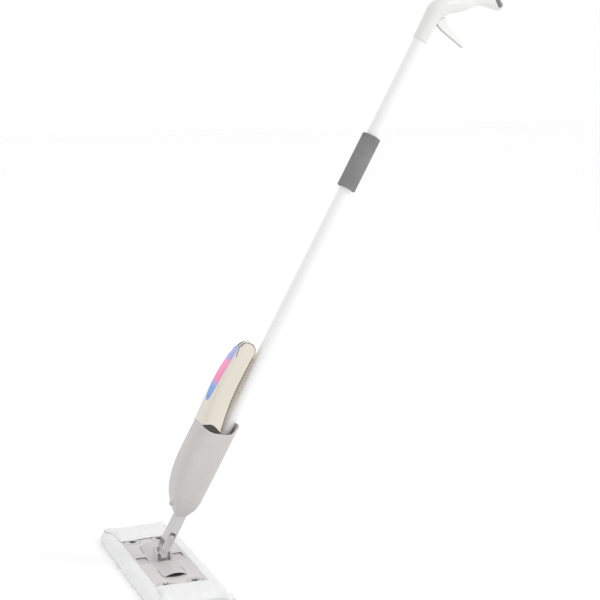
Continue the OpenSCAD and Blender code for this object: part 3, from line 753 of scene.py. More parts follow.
def housing_half(name, front):
    shares = [j / HOUSING_COLUMNS for j in range(HOUSING_COLUMNS + 1)]
    sides = []
    for depth, floor_s in ((0, 0), (HOUSING_WALL, HOUSING_INNER_S)):
        rows = foot_rows(shares, depth, floor_s, front) + wall_rows(shares, depth, floor_s, front)
        sides.append(rows + rim_rows(shares, depth, front))
    return add_shell(name, *sides, "housing_grey", "pole")


def drill(target, start, end, r):
    """A round hole through a piece from one point of the pole's frame to another."""
    start, end = Vector(start), Vector(end)
    along = (end - start).normalized()
    carve(target, [ring_about(p, along, r, 32) for p in (start, end)])


def build_nozzle():
    """A short stepped spray tip with a dished face."""
    rings = [ring_about(NOZZLE_AT + h * NOZZLE_OUT, NOZZLE_OUT, r, 48) for r, h in NOZZLE_PROFILE]
    nozzle = add_lathed("nozzle_tip", rings, "housing_grey", "pole")
    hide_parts("spray_nozzle")


def build_housing_floor():
    """The shelf that the bottle stands on, open over its socket."""
    edge, hole = [], []
    for angle in turns(96):
        x, y = superellipse(angle, housing_half_w(158) - 2.7, 33.6, 3.6)
        edge.append((x, y - 13.4))
        x, y = superellipse(angle, 17.4, 31.4, 3)
        hole.append((x, y - 8.8))
    faces = [[[on_pole(x, y, s) for x, y in ring] for ring in (edge, hole)]
             for s in (FLOOR_S, FLOOR_S - FLOOR_THICK)]
    add_shell("housing_floor", *faces, "housing_grey", "pole", wrap=True)


def build_housing():
    front = housing_half("housing_front_shell", True)
    rear = housing_half("housing_rear_shell", False)
    drill(front, NOZZLE_AT - 10 * NOZZLE_OUT, NOZZLE_AT + 20 * NOZZLE_OUT, NOZZLE_HOLE_R)
    for x in (-SCREW_X, SCREW_X):
        for s in SCREW_S:
            drill(rear, (x, 19, s), (x, 30, s), SCREW_R)
    for half in (front, rear):
        finish_piece(half, "housing_grey", "pole")
    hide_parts("housing_front")
    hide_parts("housing_rear")
    build_housing_floor()


# ---------- bottle ----------

SHOULDER_S = RIM_S + 1
BOTTLE_FOOT_S = 163.5
BOTTLE_TOP_S = 434
ARCH_S = 392
ARCH_RISE = BOTTLE_TOP_S - ARCH_S
BOTTLE_REAR_Y = -6
BOTTLE_MID_Y = -27
BOTTLE_HALF_W = 34
BOTTLE_WALL = 1.2
SPOUT_Y = -23
SPOUT_R = 11

LABEL_S = 356
LABEL_HALF_L = 61
LABEL_HALF_W = 15
LABEL_RINGS = 14

# The bead that frames each side of the bottle, as (y, s)
BEAD_LINE = [
    (-46.5, 396), (-46.6, 406), (-45, 416), (-41, 424), (-35, 429), (-27, 430.4), (-19, 427.5),
    (-14, 420), (-13.2, 412), (-15, 402), (-16.4, 380), (-17.6, 360), (-18.5, 340), (-18.8, 318),
    (-17.7, 300), (-16.4, 285), (-14.2, 267), (-12.5, 254),
]
BEAD_STEPS = 140
# Where the ribbed strip starts, as (s, y), and the y where it ends
RIB_START = [(250, -12.2), (285, -16.4), (318, -18.8), (360, -17.6), (402, -15), (412, -11)]
RIB_END_Y = -8.2
RIB_STEPS = 240


def above_shoulder(s):
    """0 inside the housing and 1 above its rim, where the bottle steps outward."""
    return smooth((s - SHOULDER_S + 2) / 2)


def bottle_plan(s, inset=0.0):
    """Middle y, half depth, half width and plan power of the bottle at a height."""
    foot = mix(-43.5, -46.8, clamp((s - BOTTLE_FOOT_S) / 30))
    belly = 6 * math.sin(math.pi / 2 * clamp((s - SHOULDER_S) / 85))
    front = foot - belly - 3.4 * above_shoulder(s) + 0.004 * max(0.0, s - 345) ** 1.8
    # How full the side profile still is: 1 up to the arch, 0 at its top
    arch = math.sqrt(max(0.0, 1 - clamp((s - ARCH_S) / ARCH_RISE) ** 2.4))
    front = mix(BOTTLE_MID_Y, front, arch) + inset * arch
    rear = mix(BOTTLE_MID_Y, BOTTLE_REAR_Y, arch) - inset * arch
    half_w = BOTTLE_HALF_W - 0.11 * max(0.0, s - SHOULDER_S) - 2.5 * (1 - above_shoulder(s))
    half_w -= 3.2 * clamp((s - 420) / 14) ** 2
    return (front + rear) / 2, (rear - front) / 2, half_w - inset, mix(3.4, 4.6, above_shoulder(s))


def bottle_ring(s, inset=0.0, lift=0.0):
    mid, half_d, half_w, power = bottle_plan(s, inset)
    ring = []
    for a in turns(96, 0.5):
        x, y = superellipse(a, half_w, half_d, power)
        ring.append(on_pole(x, mid + y, s + lift))
    return ring


def bottle_side_x(y, s):
    """Half width of the bottle's surface at a place seen from the side."""
    mid, half_d, half_w, power = bottle_plan(s)
    t = clamp(abs(y - mid) / max(half_d, 0.1), 0, 0.995)
    return half_w * (1 - t ** power) ** (1 / power)


def bottle_front_y(x, s):
    """The bottle's front surface at a place seen from the front."""
    mid, half_d, half_w, power = bottle_plan(s)
    t = clamp(abs(x) / half_w, 0, 0.995)
    return mid - half_d * (1 - t ** power) ** (1 / power)


def bottle_levels():
    low = [166, 172, 180, 190, 200, 212, 224, 236, 245, 248, 249, 250, 251.5]
    middle = [256 + 7 * i for i in range(19)]
    top = [mix(ARCH_S, BOTTLE_TOP_S, math.sin(math.pi / 2 * t / 14)) for t in range(1, 15)]
    return low + middle + top


def build_bottle():
    levels = bottle_levels()
    outer = [round_ring(SPOUT_Y, 138, SPOUT_R), round_ring(SPOUT_Y, 161, SPOUT_R),
             bottle_ring(BOTTLE_FOOT_S, 6), bottle_ring(164.1, 1.5)]
    inner = [round_ring(SPOUT_Y, 138, SPOUT_R - 2), round_ring(SPOUT_Y, 162, SPOUT_R - 2),
             bottle_ring(164.9, 7), bottle_ring(165.4, 2.8)]
    outer += [bottle_ring(s) for s in levels]
    inner += [bottle_ring(s, BOTTLE_WALL, -BOTTLE_WALL * clamp((s - ARCH_S) / ARCH_RISE)) for s in levels]
    shell = add_shell("bottle_body", outer, inner, "clear_plastic", "bottle", wrap=True, closed_top=True)
    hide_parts("bottle_shell")


def build_liquid():
    """The liquid, a hair inside the bottle's wall."""
    inset = BOTTLE_WALL + 0.15
    rings = [round_ring(SPOUT_Y, 142, 8.8), round_ring(SPOUT_Y, 162.5, 8.8), bottle_ring(165.2, 7)]
    rings += [bottle_ring(s, inset, -1.4 * clamp((s - ARCH_S) / ARCH_RISE))
              for s in bottle_levels() if s < 431]
    liquid = add_solid("bottle_fill", rings, "liquid", "bottle")
    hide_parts("bottle_liquid")


def build_label():
    """An oval film on the front face, wrapped to its curve."""
    grids = []
    for proud in (0.45, 0.08):
        rows = []
        for i in range(1, LABEL_RINGS + 1):
            row = []
            for a in turns(72):
                x, up = superellipse(a, LABEL_HALF_W, LABEL_HALF_L, 2.2)
                x, s = x * i / LABEL_RINGS, LABEL_S + up * i / LABEL_RINGS
                row.append(on_pole(x, bottle_front_y(x, s) - proud, s))
            rows.append(row)
        grids.append(rows)
    outer, inner = grids
    label = add_solid("bottle_label_film", outer + inner[::-1], "label_film", "bottle")
    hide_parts("bottle_label")


def build_ribs(side, tag):
    """A moulded strip down a rear corner, with ribs across it, coloured in painted shade."""
    outer, inner = [], []
    for i in range(RIB_STEPS + 1):
        s = mix(254, 409, i / RIB_STEPS)
        start = float(np.interp(s, *zip(*RIB_START)))
        rib = 0.55 if i % 5 in (1, 2, 3) else 0.1
        for grid, proud in ((outer, rib), (inner, -0.35)):
            row = []
            for k in range(6):
                y = mix(start, RIB_END_Y, k / 5)
                share = 1.0 if 0 < k < 5 else 0.75
                row.append(on_pole(side * (bottle_side_x(y, s) + proud * share), y, s))
            grid.append(row)
    add_shell(f"bottle_ribs_{tag}", outer, inner, "rib_painted_shade", "bottle")


def build_rim_shade(side, tag):
    """A thin dark crescent on the bottle's side over the housing's rim: painted shade for the shadow gap
    under the bottle's shoulder.
    """
    outer, inner = [], []
    for i in range(25):
        t = i / 24
        y = mix(-48.5, -11, t)
        low = rim_at(y) + 0.3
        high = max(low, SHOULDER_S) + 1.7 + 6.6 * math.sin(math.pi * t ** 0.75) ** 1.5
        levels = [mix(low, high, k / 6) for k in range(7)]
        for grid, proud in ((outer, 0.35), (inner, -0.4)):
            grid.append([on_pole(side * (bottle_side_x(y, max(s, SHOULDER_S + 1)) + proud), y, s)
                         for s in levels])
    add_shell(f"bottle_rim_shade_{tag}", outer, inner, "recess_dark", "bottle")


def build_bead(side, tag):
    """The thin bead that frames the bottle's side, dark with painted shade of the side panel's edge."""
    rings = []
    for i in range(BEAD_STEPS + 1):
        share = i / BEAD_STEPS
        y, s = spline(BEAD_LINE, share)
        centre = Vector((side * bottle_side_x(y, s), y, s))
        ahead = Vector((0, *heading(BEAD_LINE, share, 1 / BEAD_STEPS)))
        across = ahead.normalized().cross(X_AXIS)
        rings.append([on_pole(*(centre + across * 0.75 * math.cos(a) + 0.5 * math.sin(a) * X_AXIS))
                      for a in turns(8)])
    add_solid(f"bottle_bead_{tag}", rings, "recess_dark", "bottle")


# ---------- handle ----------

HANDLE_WALL = 2.4
# Centre line of the grip and its radius, as (y, s, r)
HANDLE_LINE = [
    (TUBE_Y, 1114, 13.4), (TUBE_Y, 1115.2, 14.3), (TUBE_Y, 1128, 14.4), (TUBE_Y, 1140, 14.6),
    (10.2, 1164, 15.8), (12.0, 1180, 18.0), (20.5, 1194.5, 18.2), (32.5, 1204.5, 16.6),
    (46, 1213, 15.2), (60, 1224, 14.0), (71, 1235.5, 12.2), (83, 1245, 11.4), (96, 1251, 11.8),
    (110, 1256, 13.0), (122, 1260, 14.2), (130, 1261.3, 13.8), (134, 1261.8, 12.0),
    (136.6, 1262, 8.6), (137.8, 1262.2, 4.5),
]
HOLLOW_FROM, HOLLOW_TO = 4, 14
STATION_STEPS = 6
HANG_ENDS = ((127.5, 1257), (115.5, 1264.5))
HANG_R = 5.4
HANDLE_SCREWS = ((20, 1193), (52, 1216.5), (96, 1251.5))
TRIGGER_PIVOT = (22, 1166)
TRIGGER_SLOT = [(19, 1147), (48, 1147), (48, 1178), (42, 1190), (24, 1187)]
TRIGGER_SLOT_HALF_W = 4.8
PAST_HANDLE = 30
# The trigger's front edge, where its painted shade runs, as (y, s)
TRIGGER_LINE = [(27.5, 1158.4), (43, 1154.2), (60, 1151.8), (80, 1149.6), (95.5, 1147.4), (98.3, 1148.4)]
TRIGGER_STEPS = 48


def handle_rings(inset, first, last):
    """Rings across the handle's centre line from one of its stations to another."""
    rings = []
    for i in range((last - first) * STATION_STEPS + 1):
        share = (first + i / STATION_STEPS) / (len(HANDLE_LINE) - 1)
        y, s, r = spline(HANDLE_LINE, share)
        ahead = heading(HANDLE_LINE, share, 0.004)
        angle = math.atan2(ahead[1], ahead[0])
        rings.append(cross_ring(y, s, angle, (r - inset) * 1.04, r - inset, 2.25, 56))
    return rings


def bar(y, s, r, x0, x1):
    """A round bar along x."""
    outline = [(y + r * math.cos(a), s + r * math.sin(a)) for a in turns(32)]
    return prism_rings(outline, x0, x1, on_pole)


def slot_outline(r):
    """A capsule round the two ends of the hang slot."""
    low, high = HANG_ENDS
    turn = math.atan2(high[1] - low[1], high[0] - low[0])
    return [(p[0] + r * math.cos(a + q), p[1] + r * math.sin(a + q))
            for p, a in ((high, turn), (low, turn + math.pi))
            for q in [math.pi * (j / 16 - 0.5) for j in range(17)]]


def split_handle(body, side, node):
    """One half shell of the handle, closed along the seam."""
    half = body.copy()
    half.data = body.data.copy()
    half.name = node + "_shell"
    bpy.context.scene.collection.objects.link(half)
    work = bmesh.new()
    work.from_mesh(half.data)
    cut = bmesh.ops.bisect_plane(work, geom=work.verts[:] + work.edges[:] + work.faces[:],
                                 plane_co=(side * 0.13 * MM, 0, 0), plane_no=(side, 0, 0),
                                 clear_inner=True, dist=1e-7)
    edges = [e for e in cut["geom_cut"] if isinstance(e, bmesh.types.BMEdge)]
    bmesh.ops.holes_fill(work, edges=edges, sides=0)
    bmesh.ops.recalc_face_normals(work, faces=work.faces)
    work.to_mesh(half.data)
    work.free()
    finish_piece(half, "handle_grey", "pole", 30)
    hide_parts(node)


def build_handle():
    """The hollow grip: tube socket, trigger slot and pivot, hang slot and screw holes."""
    body = add_solid("handle_shell", handle_rings(0, 0, len(HANDLE_LINE) - 1), "handle_grey", "pole")
    carve(body, handle_rings(HANDLE_WALL, HOLLOW_FROM, HOLLOW_TO))
    bore = [round_ring(TUBE_Y, s, r) for s, r in ((1100, 12.5), (1149, 12.5), (1149.2, 10.5), (1168, 10.5))]
    carve(body, bore)
    carve(body, prism_rings(TRIGGER_SLOT, -TRIGGER_SLOT_HALF_W, TRIGGER_SLOT_HALF_W, on_pole))
    carve(body, bar(*TRIGGER_PIVOT, 5.6, -TRIGGER_SLOT_HALF_W, TRIGGER_SLOT_HALF_W))
    carve(body, bar(*TRIGGER_PIVOT, 1.5, -PAST_HANDLE, PAST_HANDLE))
    carve(body, prism_rings(slot_outline(HANG_R), -PAST_HANDLE, PAST_HANDLE, on_pole))
    for y, s in HANDLE_SCREWS:
        carve(body, bar(y, s, 3.2, -PAST_HANDLE, -8.9))
    split_handle(body, 1, "handle_right")
    split_handle(body, -1, "handle_left")
    bpy.data.objects.remove(body)


def build_trigger_shade_edge():
    """The trigger's front edge in a darker grey: painted shade where its front face turns away from the
    light.
    """
    rings = []
    for i in range(TRIGGER_STEPS + 1):
        share = i / TRIGGER_STEPS
        ahead = heading(TRIGGER_LINE, share, 1 / TRIGGER_STEPS)
        angle = math.atan2(ahead[1], ahead[0])
        rings.append(cross_ring(*spline(TRIGGER_LINE, share), angle, 3.8, 1.8, 3, 20))
    # inner_plastic here is painted shade on the trigger's front edge
    add_solid("trigger_shade_edge", rings, "inner_plastic", "trigger")


# ---------- foam grip ----------

FOAM_SIDES = 120
FOAM_LOW_S, FOAM_HIGH_S = 787, 902
FOAM_R = 19.0
FOAM_BORE_R = 12.6


def build_foam():
    """A skived foam sleeve: slightly uneven, its ends pressed in round the tube."""
    end = [(FOAM_BORE_R, 0.3), (14.5, 0), (17.6, 0.1), (18.5, 0.6), (18.95, 1.6)]
    profile = [(r, FOAM_LOW_S + rise) for r, rise in end]
    profile += [(FOAM_R, 790 + 109 * t / 54) for t in range(55)]
    profile += [(r, FOAM_HIGH_S - rise) for r, rise in end[::-1]]
    rings = []
    for r, s in profile:
        ring = []
        for a in turns(FOAM_SIDES):
            place = on_pole(r * math.cos(a), TUBE_Y + r * math.sin(a), s)
            swell = 0.12 * noise.noise(place * 260) + 0.10 * noise.noise(place * 90)
            uneven = r + (swell if r > 17 else 0)
            ring.append(on_pole(uneven * math.cos(a), TUBE_Y + uneven * math.sin(a), s))
        rings.append(ring)
    rings += [round_ring(TUBE_Y, s, 12.55, FOAM_SIDES) for s in (FOAM_HIGH_S - 0.3, FOAM_LOW_S + 0.3)]
    foam = add_lathed("foam_sleeve", rings, "foam", "pole", 60)
    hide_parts("foam_grip")


# ---------- pump spring ----------

SPRING_FOOT_S = 88
SPRING_RISE = 22.2
SPRING_TURNS = 5
COIL_R = 5.2
WIRE_R = 0.55


def build_pump_spring():
    """The coil under the pump's piston, as one fixed shape; the piston presses the real coil together."""
    foot, steps = SPRING_FOOT_S, 48
    rings = []
    for i in range(SPRING_TURNS * steps + 1):
        a = 2 * math.pi * i / steps
        s = foot + SPRING_RISE * i / (SPRING_TURNS * steps)
        ring = []
        for b in turns(12):
            reach, up = COIL_R + WIRE_R * math.cos(b), WIRE_R * math.sin(b)
            ring.append(on_pole(reach * math.cos(a), TUBE_Y + reach * math.sin(a), s + up))
        rings.append(ring)
    spring = add_solid("pump_spring_coil", rings, "steel", "pole")
    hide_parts("pump_spring")
    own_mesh(spring)


# ---------- joint base and plate ----------

PLATE_TOP = 20
PLATE_HALF_L = 190
PLATE_HALF_W = 50
COVER_TOP = 26
COVER_HALF_L = 86
COVER_HALF_W = 24
WALL_FLARE = 3
# Half width, top and the two faces of each wall that holds the roll pin
PIN_WALLS = [(10.5, 50, -17.4, -13), (8, 37, 13, 17.4)]
POCKET = [(-11.6, 21), (11.6, 21), (11.6, 23.3), (18, 27), (18, 60), (-18, 60), (-18, 27), (-11.6, 23.3)]
GRIPPER_X, GRIPPER_Y = 118, 28
SLIT_HALF_L = 10
GRIPPER_RIM_R = 16
# The stepped ends of the plate's ramps, where painted shadow lines run, as (x, y)
PLATE_STEPS = [[(-28.8, -45), (-28.4, -26.8), (-14, -26.8)], [(-28.8, 27), (-28.8, 45), (-15, 45.6)]]
COVER_EDGE = [(46, 24.3), (72, 24.0), (82, 22.8)]
COMB_X = (-10.9, -4.9, 1.1, 7.1)
COMB_GAP = 0.6


def cover_height(x, y):
    """The cover is a low arch across, fuller and a little higher towards its ends."""
    share = clamp(abs(y) / COVER_HALF_W)
    fullness = mix(1.35, 0.6, smooth((abs(x) - 48) / 26))
    foot = PLATE_TOP + 0.1
    top = COVER_TOP + 1.6 * smooth((abs(x) - 52) / 32)
    return foot + (top - foot) * math.cos(math.pi / 2 * share) ** fullness


def across_head(y, x, z):
    """Places an (x, z) outline that is pushed along y."""
    return on_head(x, y, z)


def wall_outline(half_w, top):
    """A round-headed wall that widens at its foot."""
    foot = [(half_w + WALL_FLARE, PLATE_TOP), (half_w + WALL_FLARE * 0.3, PLATE_TOP + 2),
            (half_w, PLATE_TOP + 5)]
    head = [(half_w * math.cos(a), top - half_w + half_w * math.sin(a))
            for a in [math.pi * (1 - j / 20) for j in range(21)]]
    return [(-x, z) for x, z in foot] + head + foot[::-1]


def mouth_rings(end):
    """The hollow that opens at one end of the cover."""
    half = COVER_HALF_W - 3.2
    rings = []
    for x, squeeze in ((40, 0.7), (60, 1.0), (100, 1.0)):
        section = [(y, PLATE_TOP - 2) for y in (-half, half)]
        section += [(y, cover_height(x, y) - 1.0) for y in [mix(half, -half, j / 16) for j in range(17)]]
        rings.append([on_head(end * x, y * squeeze, z) for y, z in section])
    return rings


def build_mouth_shade(end, tag):
    """A dark sheet in one mouth: painted shade of the hollow under the cover."""
    front = []
    for k in range(17):
        t = k / 8 - 1
        front.append((mix(78, 88.5, math.cos(math.pi / 2 * t) ** 0.7), 20.5 * t))
    outline = [(end * x, y) for x, y in [(44, 15), (44, -15)] + front]
    rings = prism_rings(outline, PLATE_TOP + 0.05, PLATE_TOP + 0.5, lambda z, x, y: on_head(x, y, z))
    # dark_rubber here stands for painted shade
    pad = add_solid(f"mouth_shade_{tag}", rings, "dark_rubber", "head")
    round_edges(pad, 0.1 * MM)


def build_joint_base():
    """The moulded cover with its two pin walls, the knuckle's pocket and a mouth at each end."""
    outer, inner = [], []
    for i in range(61):
        x = mix(-COVER_HALF_L, COVER_HALF_L, i / 60)
        reach = COVER_HALF_W - 2 * smooth((abs(x) - 72) / 14)
        line = [mix(-reach, reach, j / 40) for j in range(41)]
        outer.append([on_head(x, y, cover_height(x, y)) for y in line])
        inner.append([on_head(x, y, PLATE_TOP - 0.9) for y in line])
    base = add_shell("joint_cover", outer, inner, "joint_grey", "head")
    for half_w, top, y0, y1 in PIN_WALLS:
        carve(base, prism_rings(wall_outline(half_w, top), y0, y1, across_head), "UNION")
    carve(base, prism_rings(POCKET, -13.02, 13.02, across_head))
    for end in (-1, 1):
        carve(base, mouth_rings(end))
    remesh(base, 0.5, 4)
    finish_piece(base, "plate_grey", "head", 60)
    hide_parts("joint_base")
    build_mouth_shade(-1, "far")
    build_mouth_shade(1, "near")


def add_ribbons(name, lines, width, low, high):
    """Flat dark strips of painted shadow along lines of (x, y) points on the head."""
    boxes = []
    for line in lines:
        for (ax, ay), (bx, by) in zip(line, line[1:]):
            along = Vector((bx - ax, by - ay)).normalized() * width / 2
            side = Vector((-along.y, along.x))
            ends = [(ax - along.x, ay - along.y), (bx + along.x, by + along.y)]
            corners = [(x + k * side.x, y + k * side.y) for x, y in ends for k in (-1, 1)]
            boxes.append([on_head(x, y, z) for z in (low, high) for x, y in corners])
    # dark_rubber here stands for painted shadow
    add_boxes(name, boxes, "dark_rubber", "head")


def on_circle(x, y, r, angle):
    return x + r * math.cos(angle), y + r * math.sin(angle)


def build_plate_details():
    """Shadow lines of the plate: its stepped ramps, the cover's edges, the grippers' slits and rims."""
    corners = [(i, j) for i in (-1, 1) for j in (-1, 1)]
    slits, rims = [], []
    for i, j in corners:
        x, y = i * GRIPPER_X, j * GRIPPER_Y
        for a in (math.pi / 6, math.pi / 2, 5 * math.pi / 6):
            slits.append([on_circle(x, y, -SLIT_HALF_L, a), on_circle(x, y, SLIT_HALF_L, a)])
        rims.append([on_circle(x, y, GRIPPER_RIM_R, math.pi * k / 24) for k in range(49)])
    edges = [[(i * x, j * y) for x, y in COVER_EDGE] for i, j in corners]
    add_ribbons("plate_step_shadows", PLATE_STEPS, 1.1, 19.4, 20.12)
    add_ribbons("gripper_slit_shadows", slits, 0.5, 19.6, 20.7)
    add_ribbons("gripper_rim_shadows", rims, 0.5, 19.6, 20.1)
    add_ribbons("cover_edge_shadows", edges, 0.7, 19.6, 20.3)


def build_comb_gap_shadows():
    """Painted shadow strips in the gaps between the leaves of the pitch joint."""
    boxes = [[on_pole(x + dx, y, s) for dx in (0, COMB_GAP) for y in (-4.8, -3.9) for s in (-1.5, 13)]
             for x in COMB_X]
    # dark_rubber here stands for painted shadow
    add_boxes("comb_gap_shadows", boxes, "dark_rubber", "pole")


# ---------- pad ----------

PAD_HALF_L = 201
PAD_HALF_W = 77
# The border's section: share of the way in to the plate's edge, and height
PAD_SECTION = [
    (0.16, 0.0), (0.04, 0.5), (0.0, 3.0), (0.0, 6.5), (0.05, 10.5), (0.17, 14.4), (0.36, 17.6),
    (0.6, 19.6), (0.82, 20.9), (0.97, 21.4), (1.07, 21.0), (1.07, 19.0), (1.0, 18.0), (1.0, 12.0),
]
SOLE_TOP = 11.8
# Inner edge, slant across and seed of each flap, by its side
FLAPS = {-1: (125, 3.0, 2), 1: (129, 5.0, 5)}
# Share of a flap's length at which it turns down over the plate's end
FLAP_TURN = 0.86


def rounded_outline(half_l, half_w, r):
    """A rounded rectangle whose points keep their share of sides and corners."""
    signs = ((1, 1), (-1, 1), (-1, -1), (1, -1))
    points = []
    for i, (sx, sy) in enumerate(signs):
        points += [on_circle(sx * (half_l - r), sy * (half_w - r), r, math.pi / 2 * (i + j / 12))
                   for j in range(13)]
        nx, ny = signs[(i + 1) % 4]
        start = points[-1]
        end = on_circle(nx * (half_l - r), ny * (half_w - r), r, math.pi / 2 * (i + 1))
        steps = 72 if i % 2 == 0 else 24
        points += [(mix(start[0], end[0], k / steps), mix(start[1], end[1], k / steps))
                   for k in range(1, steps)]
    return points


def corner_ear(x, y):
    """The pad's corners are drawn out a little, where the border's seams meet."""
    pull = smooth((abs(x) - 150) / 51) * smooth((abs(y) - 45) / 32)
    return x + math.copysign(13 * pull * pull, x), y - math.copysign(6 * pull, y)


def wavy(x, y, z):
    """Slow and fine unevenness of the border, in millimetres."""
    slow = noise.noise(Vector((x * 0.021, y * 0.021, 3.7)))
    fine = noise.noise(Vector((x * 0.11, y * 0.11, z * 0.1)))
    return 3.0 * (slow * 1.6 + fine * 0.8)


def settle(obj, pinned, pressure, cap, frames=20):
    """Cloth under pressure without gravity; points past the cap are drawn back to it."""
    start = np.array([v.co for v in obj.data.vertices])
    group = obj.vertex_groups.new(name="pinned")
    group.add([i for i, p in enumerate(start) if pinned(p / MM)], 1.0, "REPLACE")
    modifier = obj.modifiers.new("cloth", "CLOTH")
    modifier.settings.vertex_group_mass = "pinned"
    modifier.settings.use_pressure = True
    modifier.settings.uniform_pressure_force = pressure
    modifier.settings.quality = 6
    modifier.settings.effector_weights.gravity = 0
    modifier.point_cache.frame_start = 1
    modifier.point_cache.frame_end = frames
    for step in range(1, frames + 1):
        bpy.context.scene.frame_set(step)
    apply_modifiers(obj)
    bpy.context.scene.frame_set(1)
    for vertex, rest in zip(obj.data.vertices, start):
        shift = vertex.co - Vector(rest)
        if shift.length > cap * MM:
            vertex.co = Vector(rest) + shift.normalized() * cap * MM


def nap(obj, amount, scale, share):
    """Moves the surface in and out in small tufts, by a share that depends on the place."""
    shifts = []
    for vertex in obj.data.vertices:
        tuft = noise.noise(vertex.co * scale) + 0.5 * noise.noise(vertex.co * scale * 2.3)
        shifts.append(vertex.normal * tuft * amount * MM * share(vertex.co / MM))
    for vertex, shift in zip(obj.data.vertices, shifts):
        vertex.co += shift


def pad_pinned(p):
    """The sole and what lies under the plate keep their place."""
    return p[2] < 2.5 or (abs(p[0]) < PLATE_HALF_L + 2 and abs(p[1]) < PLATE_HALF_W + 2)


def border_share(p):
    """1 on the soft border, 0 on the sole and beside the plate."""
    beyond = math.hypot(max(0, abs(p[0]) - PLATE_HALF_L), max(0, abs(p[1]) - PLATE_HALF_W))
    return smooth((p[2] - 0.3) / 3) * smooth((beyond - 1) / 4)


def keep_clear(obj):
    """The pad rests on the floor and stays under the plate."""
    for vertex in obj.data.vertices:
        x, y, z = vertex.co / MM
        if abs(x) < PLATE_HALF_L and abs(y) < PLATE_HALF_W and z < 17:
            z = min(z, SOLE_TOP)
        vertex.co = on_head(x, y, max(z, 0.0))


def build_pad():
    """The microfibre pad: a flat sole with a thick soft border round the plate."""
    outer = [corner_ear(x, y) for x, y in rounded_outline(PAD_HALF_L, PAD_HALF_W, 11)]
    inner = rounded_outline(PLATE_HALF_L + 0.7, PLATE_HALF_W + 0.7, 12.5)
    rings = [[on_head(x * 0.9, y * 0.8, 0.0) for x, y in outer]]
    for t, z in PAD_SECTION:
        ring = []
        for (ax, ay), (bx, by) in zip(outer, inner):
            give = wavy(ax, ay, z) * max(0, 1 - t)
            x, y = mix(ax, bx, t), mix(ay, by, t)
            rise = 1.5 * smooth((abs(x) - 188) / 8) if 0.3 < t < 0.99 else 0
            ring.append(on_head(x, y + math.copysign(give, y) * smooth(abs(y) / 60), z + rise))
        rings.append(ring)
    rings.append([on_head(x * 0.9, y * 0.7, SOLE_TOP - 0.1) for x, y in inner])
    pad = add_solid("pad_body", rings, "pad_fabric", "head")
    remesh(pad, 3.0, 2)
    settle(pad, pad_pinned, 3.0, 2.0)
    subdivide(pad)
    keep_clear(pad)
    nap(pad, 0.75, 330, border_share)
    finish_piece(pad, "pad_fabric", "head", 180)
    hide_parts("pad_sole", "pad_fringe")


def flap_height(u, v):
    """Top of a folded flap above the floor: tucked edge at u = 0, over the plate's end at u = 1."""
    crown = 21.5 + 3.6 * math.sin(math.pi * clamp(u, 0, 1) ** 0.8) + 3.4 * smooth(u * 1.3)
    hollow = 1.6 * math.exp(-((v - 0.05) / 0.3) ** 2) * math.exp(-((u - 0.15) / 0.3) ** 2)
    return crown - hollow


def flap_points(side, u, v):
    """Upper and lower point of a flap; u runs outward over the plate's end, v runs across."""
    start, slant, seed = FLAPS[side]
    run = min(1, u / FLAP_TURN)
    reach = 57 + 9 * smooth((u - 0.45) / 0.35)
    y = reach * math.copysign(abs(v) ** 0.94, v)
    end = 198.5 + 8 * smooth((abs(v) - 0.62) / 0.38)
    # The grippers draw the tucked edge in and down
    pull = 3.5 * math.exp(-((abs(y) - GRIPPER_Y) / 7) ** 2) * (1 - smooth(u * 4))
    inner = start + slant * v - pull + 1.2 * noise.noise(Vector((y * 0.05, seed, 0)))
    x = mix(inner, end, run)
    z = flap_height(run, v)
    fold = noise.noise(Vector((x * 0.02, y * 0.085, seed * 3.1))) * 1.7
    fold += noise.noise(Vector((x * 0.07, y * 0.05, seed * 5.3))) * 0.8
    z += fold * smooth((u + 0.05) * 4) * (1 - 0.5 * smooth((u - 0.8) * 6))
    z -= 2.6 * math.exp(-((abs(y) - GRIPPER_Y) / 6) ** 2) * math.exp(-(u / 0.1) ** 2)
    # Thin at its free edges, and down on the pad's border along its sides
    thick = 0.9 + 2.6 * smooth((1 - abs(v)) / 0.05) * smooth(u / 0.04)
    edge = mix(20.2, 22.4, smooth((u - 0.5) / 0.3))
    z = mix(edge, max(z, 20.5 + thick), smooth((reach - abs(y)) / 12))
    if u > FLAP_TURN:
        turn = (u - FLAP_TURN) / (1 - FLAP_TURN) * math.pi / 2
        x, z = end + 4.8 * math.sin(turn), z - 11 * (1 - math.cos(turn))
        return on_head(side * x, y, z), on_head(side * max(191.2, x - 3.6), y, z - 2.0)
    return on_head(side * x, y, z), on_head(side * x, y, min(z - 0.8, max(20.9, z - thick)))


def flap_pinned(p):
    return p[2] < 21.6 or abs(p[0]) > 199


def flap_share(p):
    return smooth((p[2] - 21.5) / 1.5)


def build_flap(side, node):
    """An end flap of the pad, folded over the plate and tucked into its grippers."""
    upper, lower = [], []
    for i in range(57):
        pairs = [flap_points(side, i / 56, 2 * j / 60 - 1) for j in range(61)]
        upper.append([top for top, _ in pairs])
        lower.append([low for _, low in pairs])
    flap = add_shell(node + "_cloth", upper, lower, "pad_fabric", "head")
    remesh(flap, 1.8, 2)
    keep_largest(flap)
    settle(flap, flap_pinned, 3.0, 1.6, 12)
    subdivide(flap)
    nap(flap, 0.4, 420, flap_share)
    finish_piece(flap, "pad_fabric", "head", 180)
    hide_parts(node)


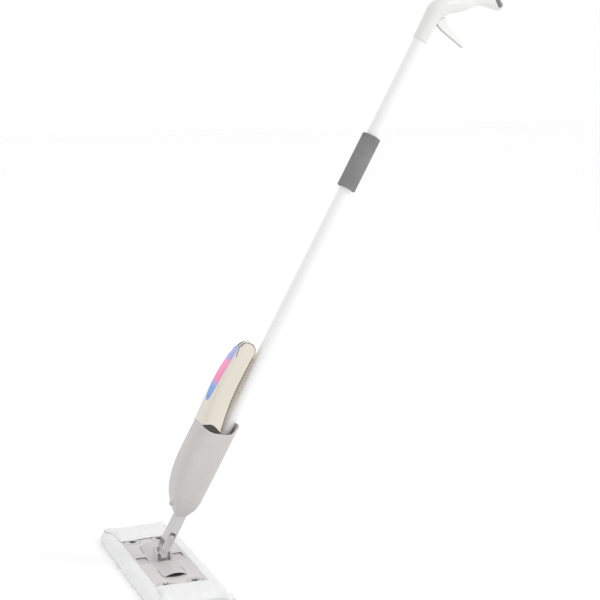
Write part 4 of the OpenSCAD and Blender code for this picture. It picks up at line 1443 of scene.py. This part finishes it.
def yarn_loop(draw, x, y):
    """Rings of one yarn loop that leans outward from the pad's edge."""
    up = Vector((0, 0, 1))
    out = Vector((0.4 * math.copysign(1, x) * (abs(x) > 180), math.copysign(1, y), 0)).normalized()
    side = up.cross(out)
    reach, wide = draw.uniform(2.5, 6.0), draw.uniform(1.0, 2.2)
    base, tilt = Vector((x, y, draw.uniform(4, 10))), draw.uniform(-0.5, 0.5)
    steps, yarn_r = 12, 0.55
    rings = []
    for i in range(steps):
        a = math.pi * i / (steps - 1)
        centre = base + out * reach * math.sin(a) + side * wide * math.cos(a)
        centre.z += tilt * reach * math.sin(a)
        ahead = (out * reach * math.cos(a) - side * wide * math.sin(a)).normalized()
        across = ahead.cross(up)
        ring = []
        for b in turns(6):
            p = centre + across * yarn_r * math.cos(b) + Vector((0, 0, yarn_r * math.sin(b)))
            ring.append(on_head(p.x, p.y, max(0.05, p.z)))
        rings.append(ring)
    return rings


def build_tufts():
    """Loose loops of the pile that stick out at the corners and along the edge."""
    draw = random.Random(7)
    spots = [(-194, -66, 14), (188, 74, 16), (194, -68, 6), (-192, 70, 8)]
    spots += [(draw.uniform(-190, 190), draw.choice((-1, 1)) * 75.5, 1) for _ in range(26)]
    points, faces = [], []
    for x, y, count in spots:
        for _ in range(count):
            rings = yarn_loop(draw, x + draw.uniform(-9, 9), y + draw.uniform(-4, 4))
            loop_points, loop_faces = solid_through(rings)
            faces += [[len(points) + q for q in face] for face in loop_faces]
            points += loop_points
    tufts = add_mesh("pad_tufts", points, faces, "pad_fabric", "head", 180)


# ---------- assembly ----------

paint_cad_nodes()
build_housing()
build_nozzle()
build_bottle()
build_liquid()
build_label()
for side, tag in ((-1, "left"), (1, "right")):
    build_ribs(side, tag)
    build_rim_shade(side, tag)
    build_bead(side, tag)
build_handle()
build_trigger_shade_edge()
build_foam()
build_pump_spring()
build_joint_base()
build_plate_details()
build_comb_gap_shadows()
build_pad()
for side, tag in ((-1, "left"), (1, "right")):
    build_flap(side, f"pad_flap_{tag}")
build_tufts()

add_camera()
add_world((1, 1, 1), 1.0)
add_floor(Finish("floor_white", (0.985, 0.985, 0.985), 0.8).material)
add_area_light("key", (1.8, 3.0, 2.6), (0, 0.3, 0.5), 1.3, 36)
bpy.context.scene.view_settings.view_transform = "Standard"
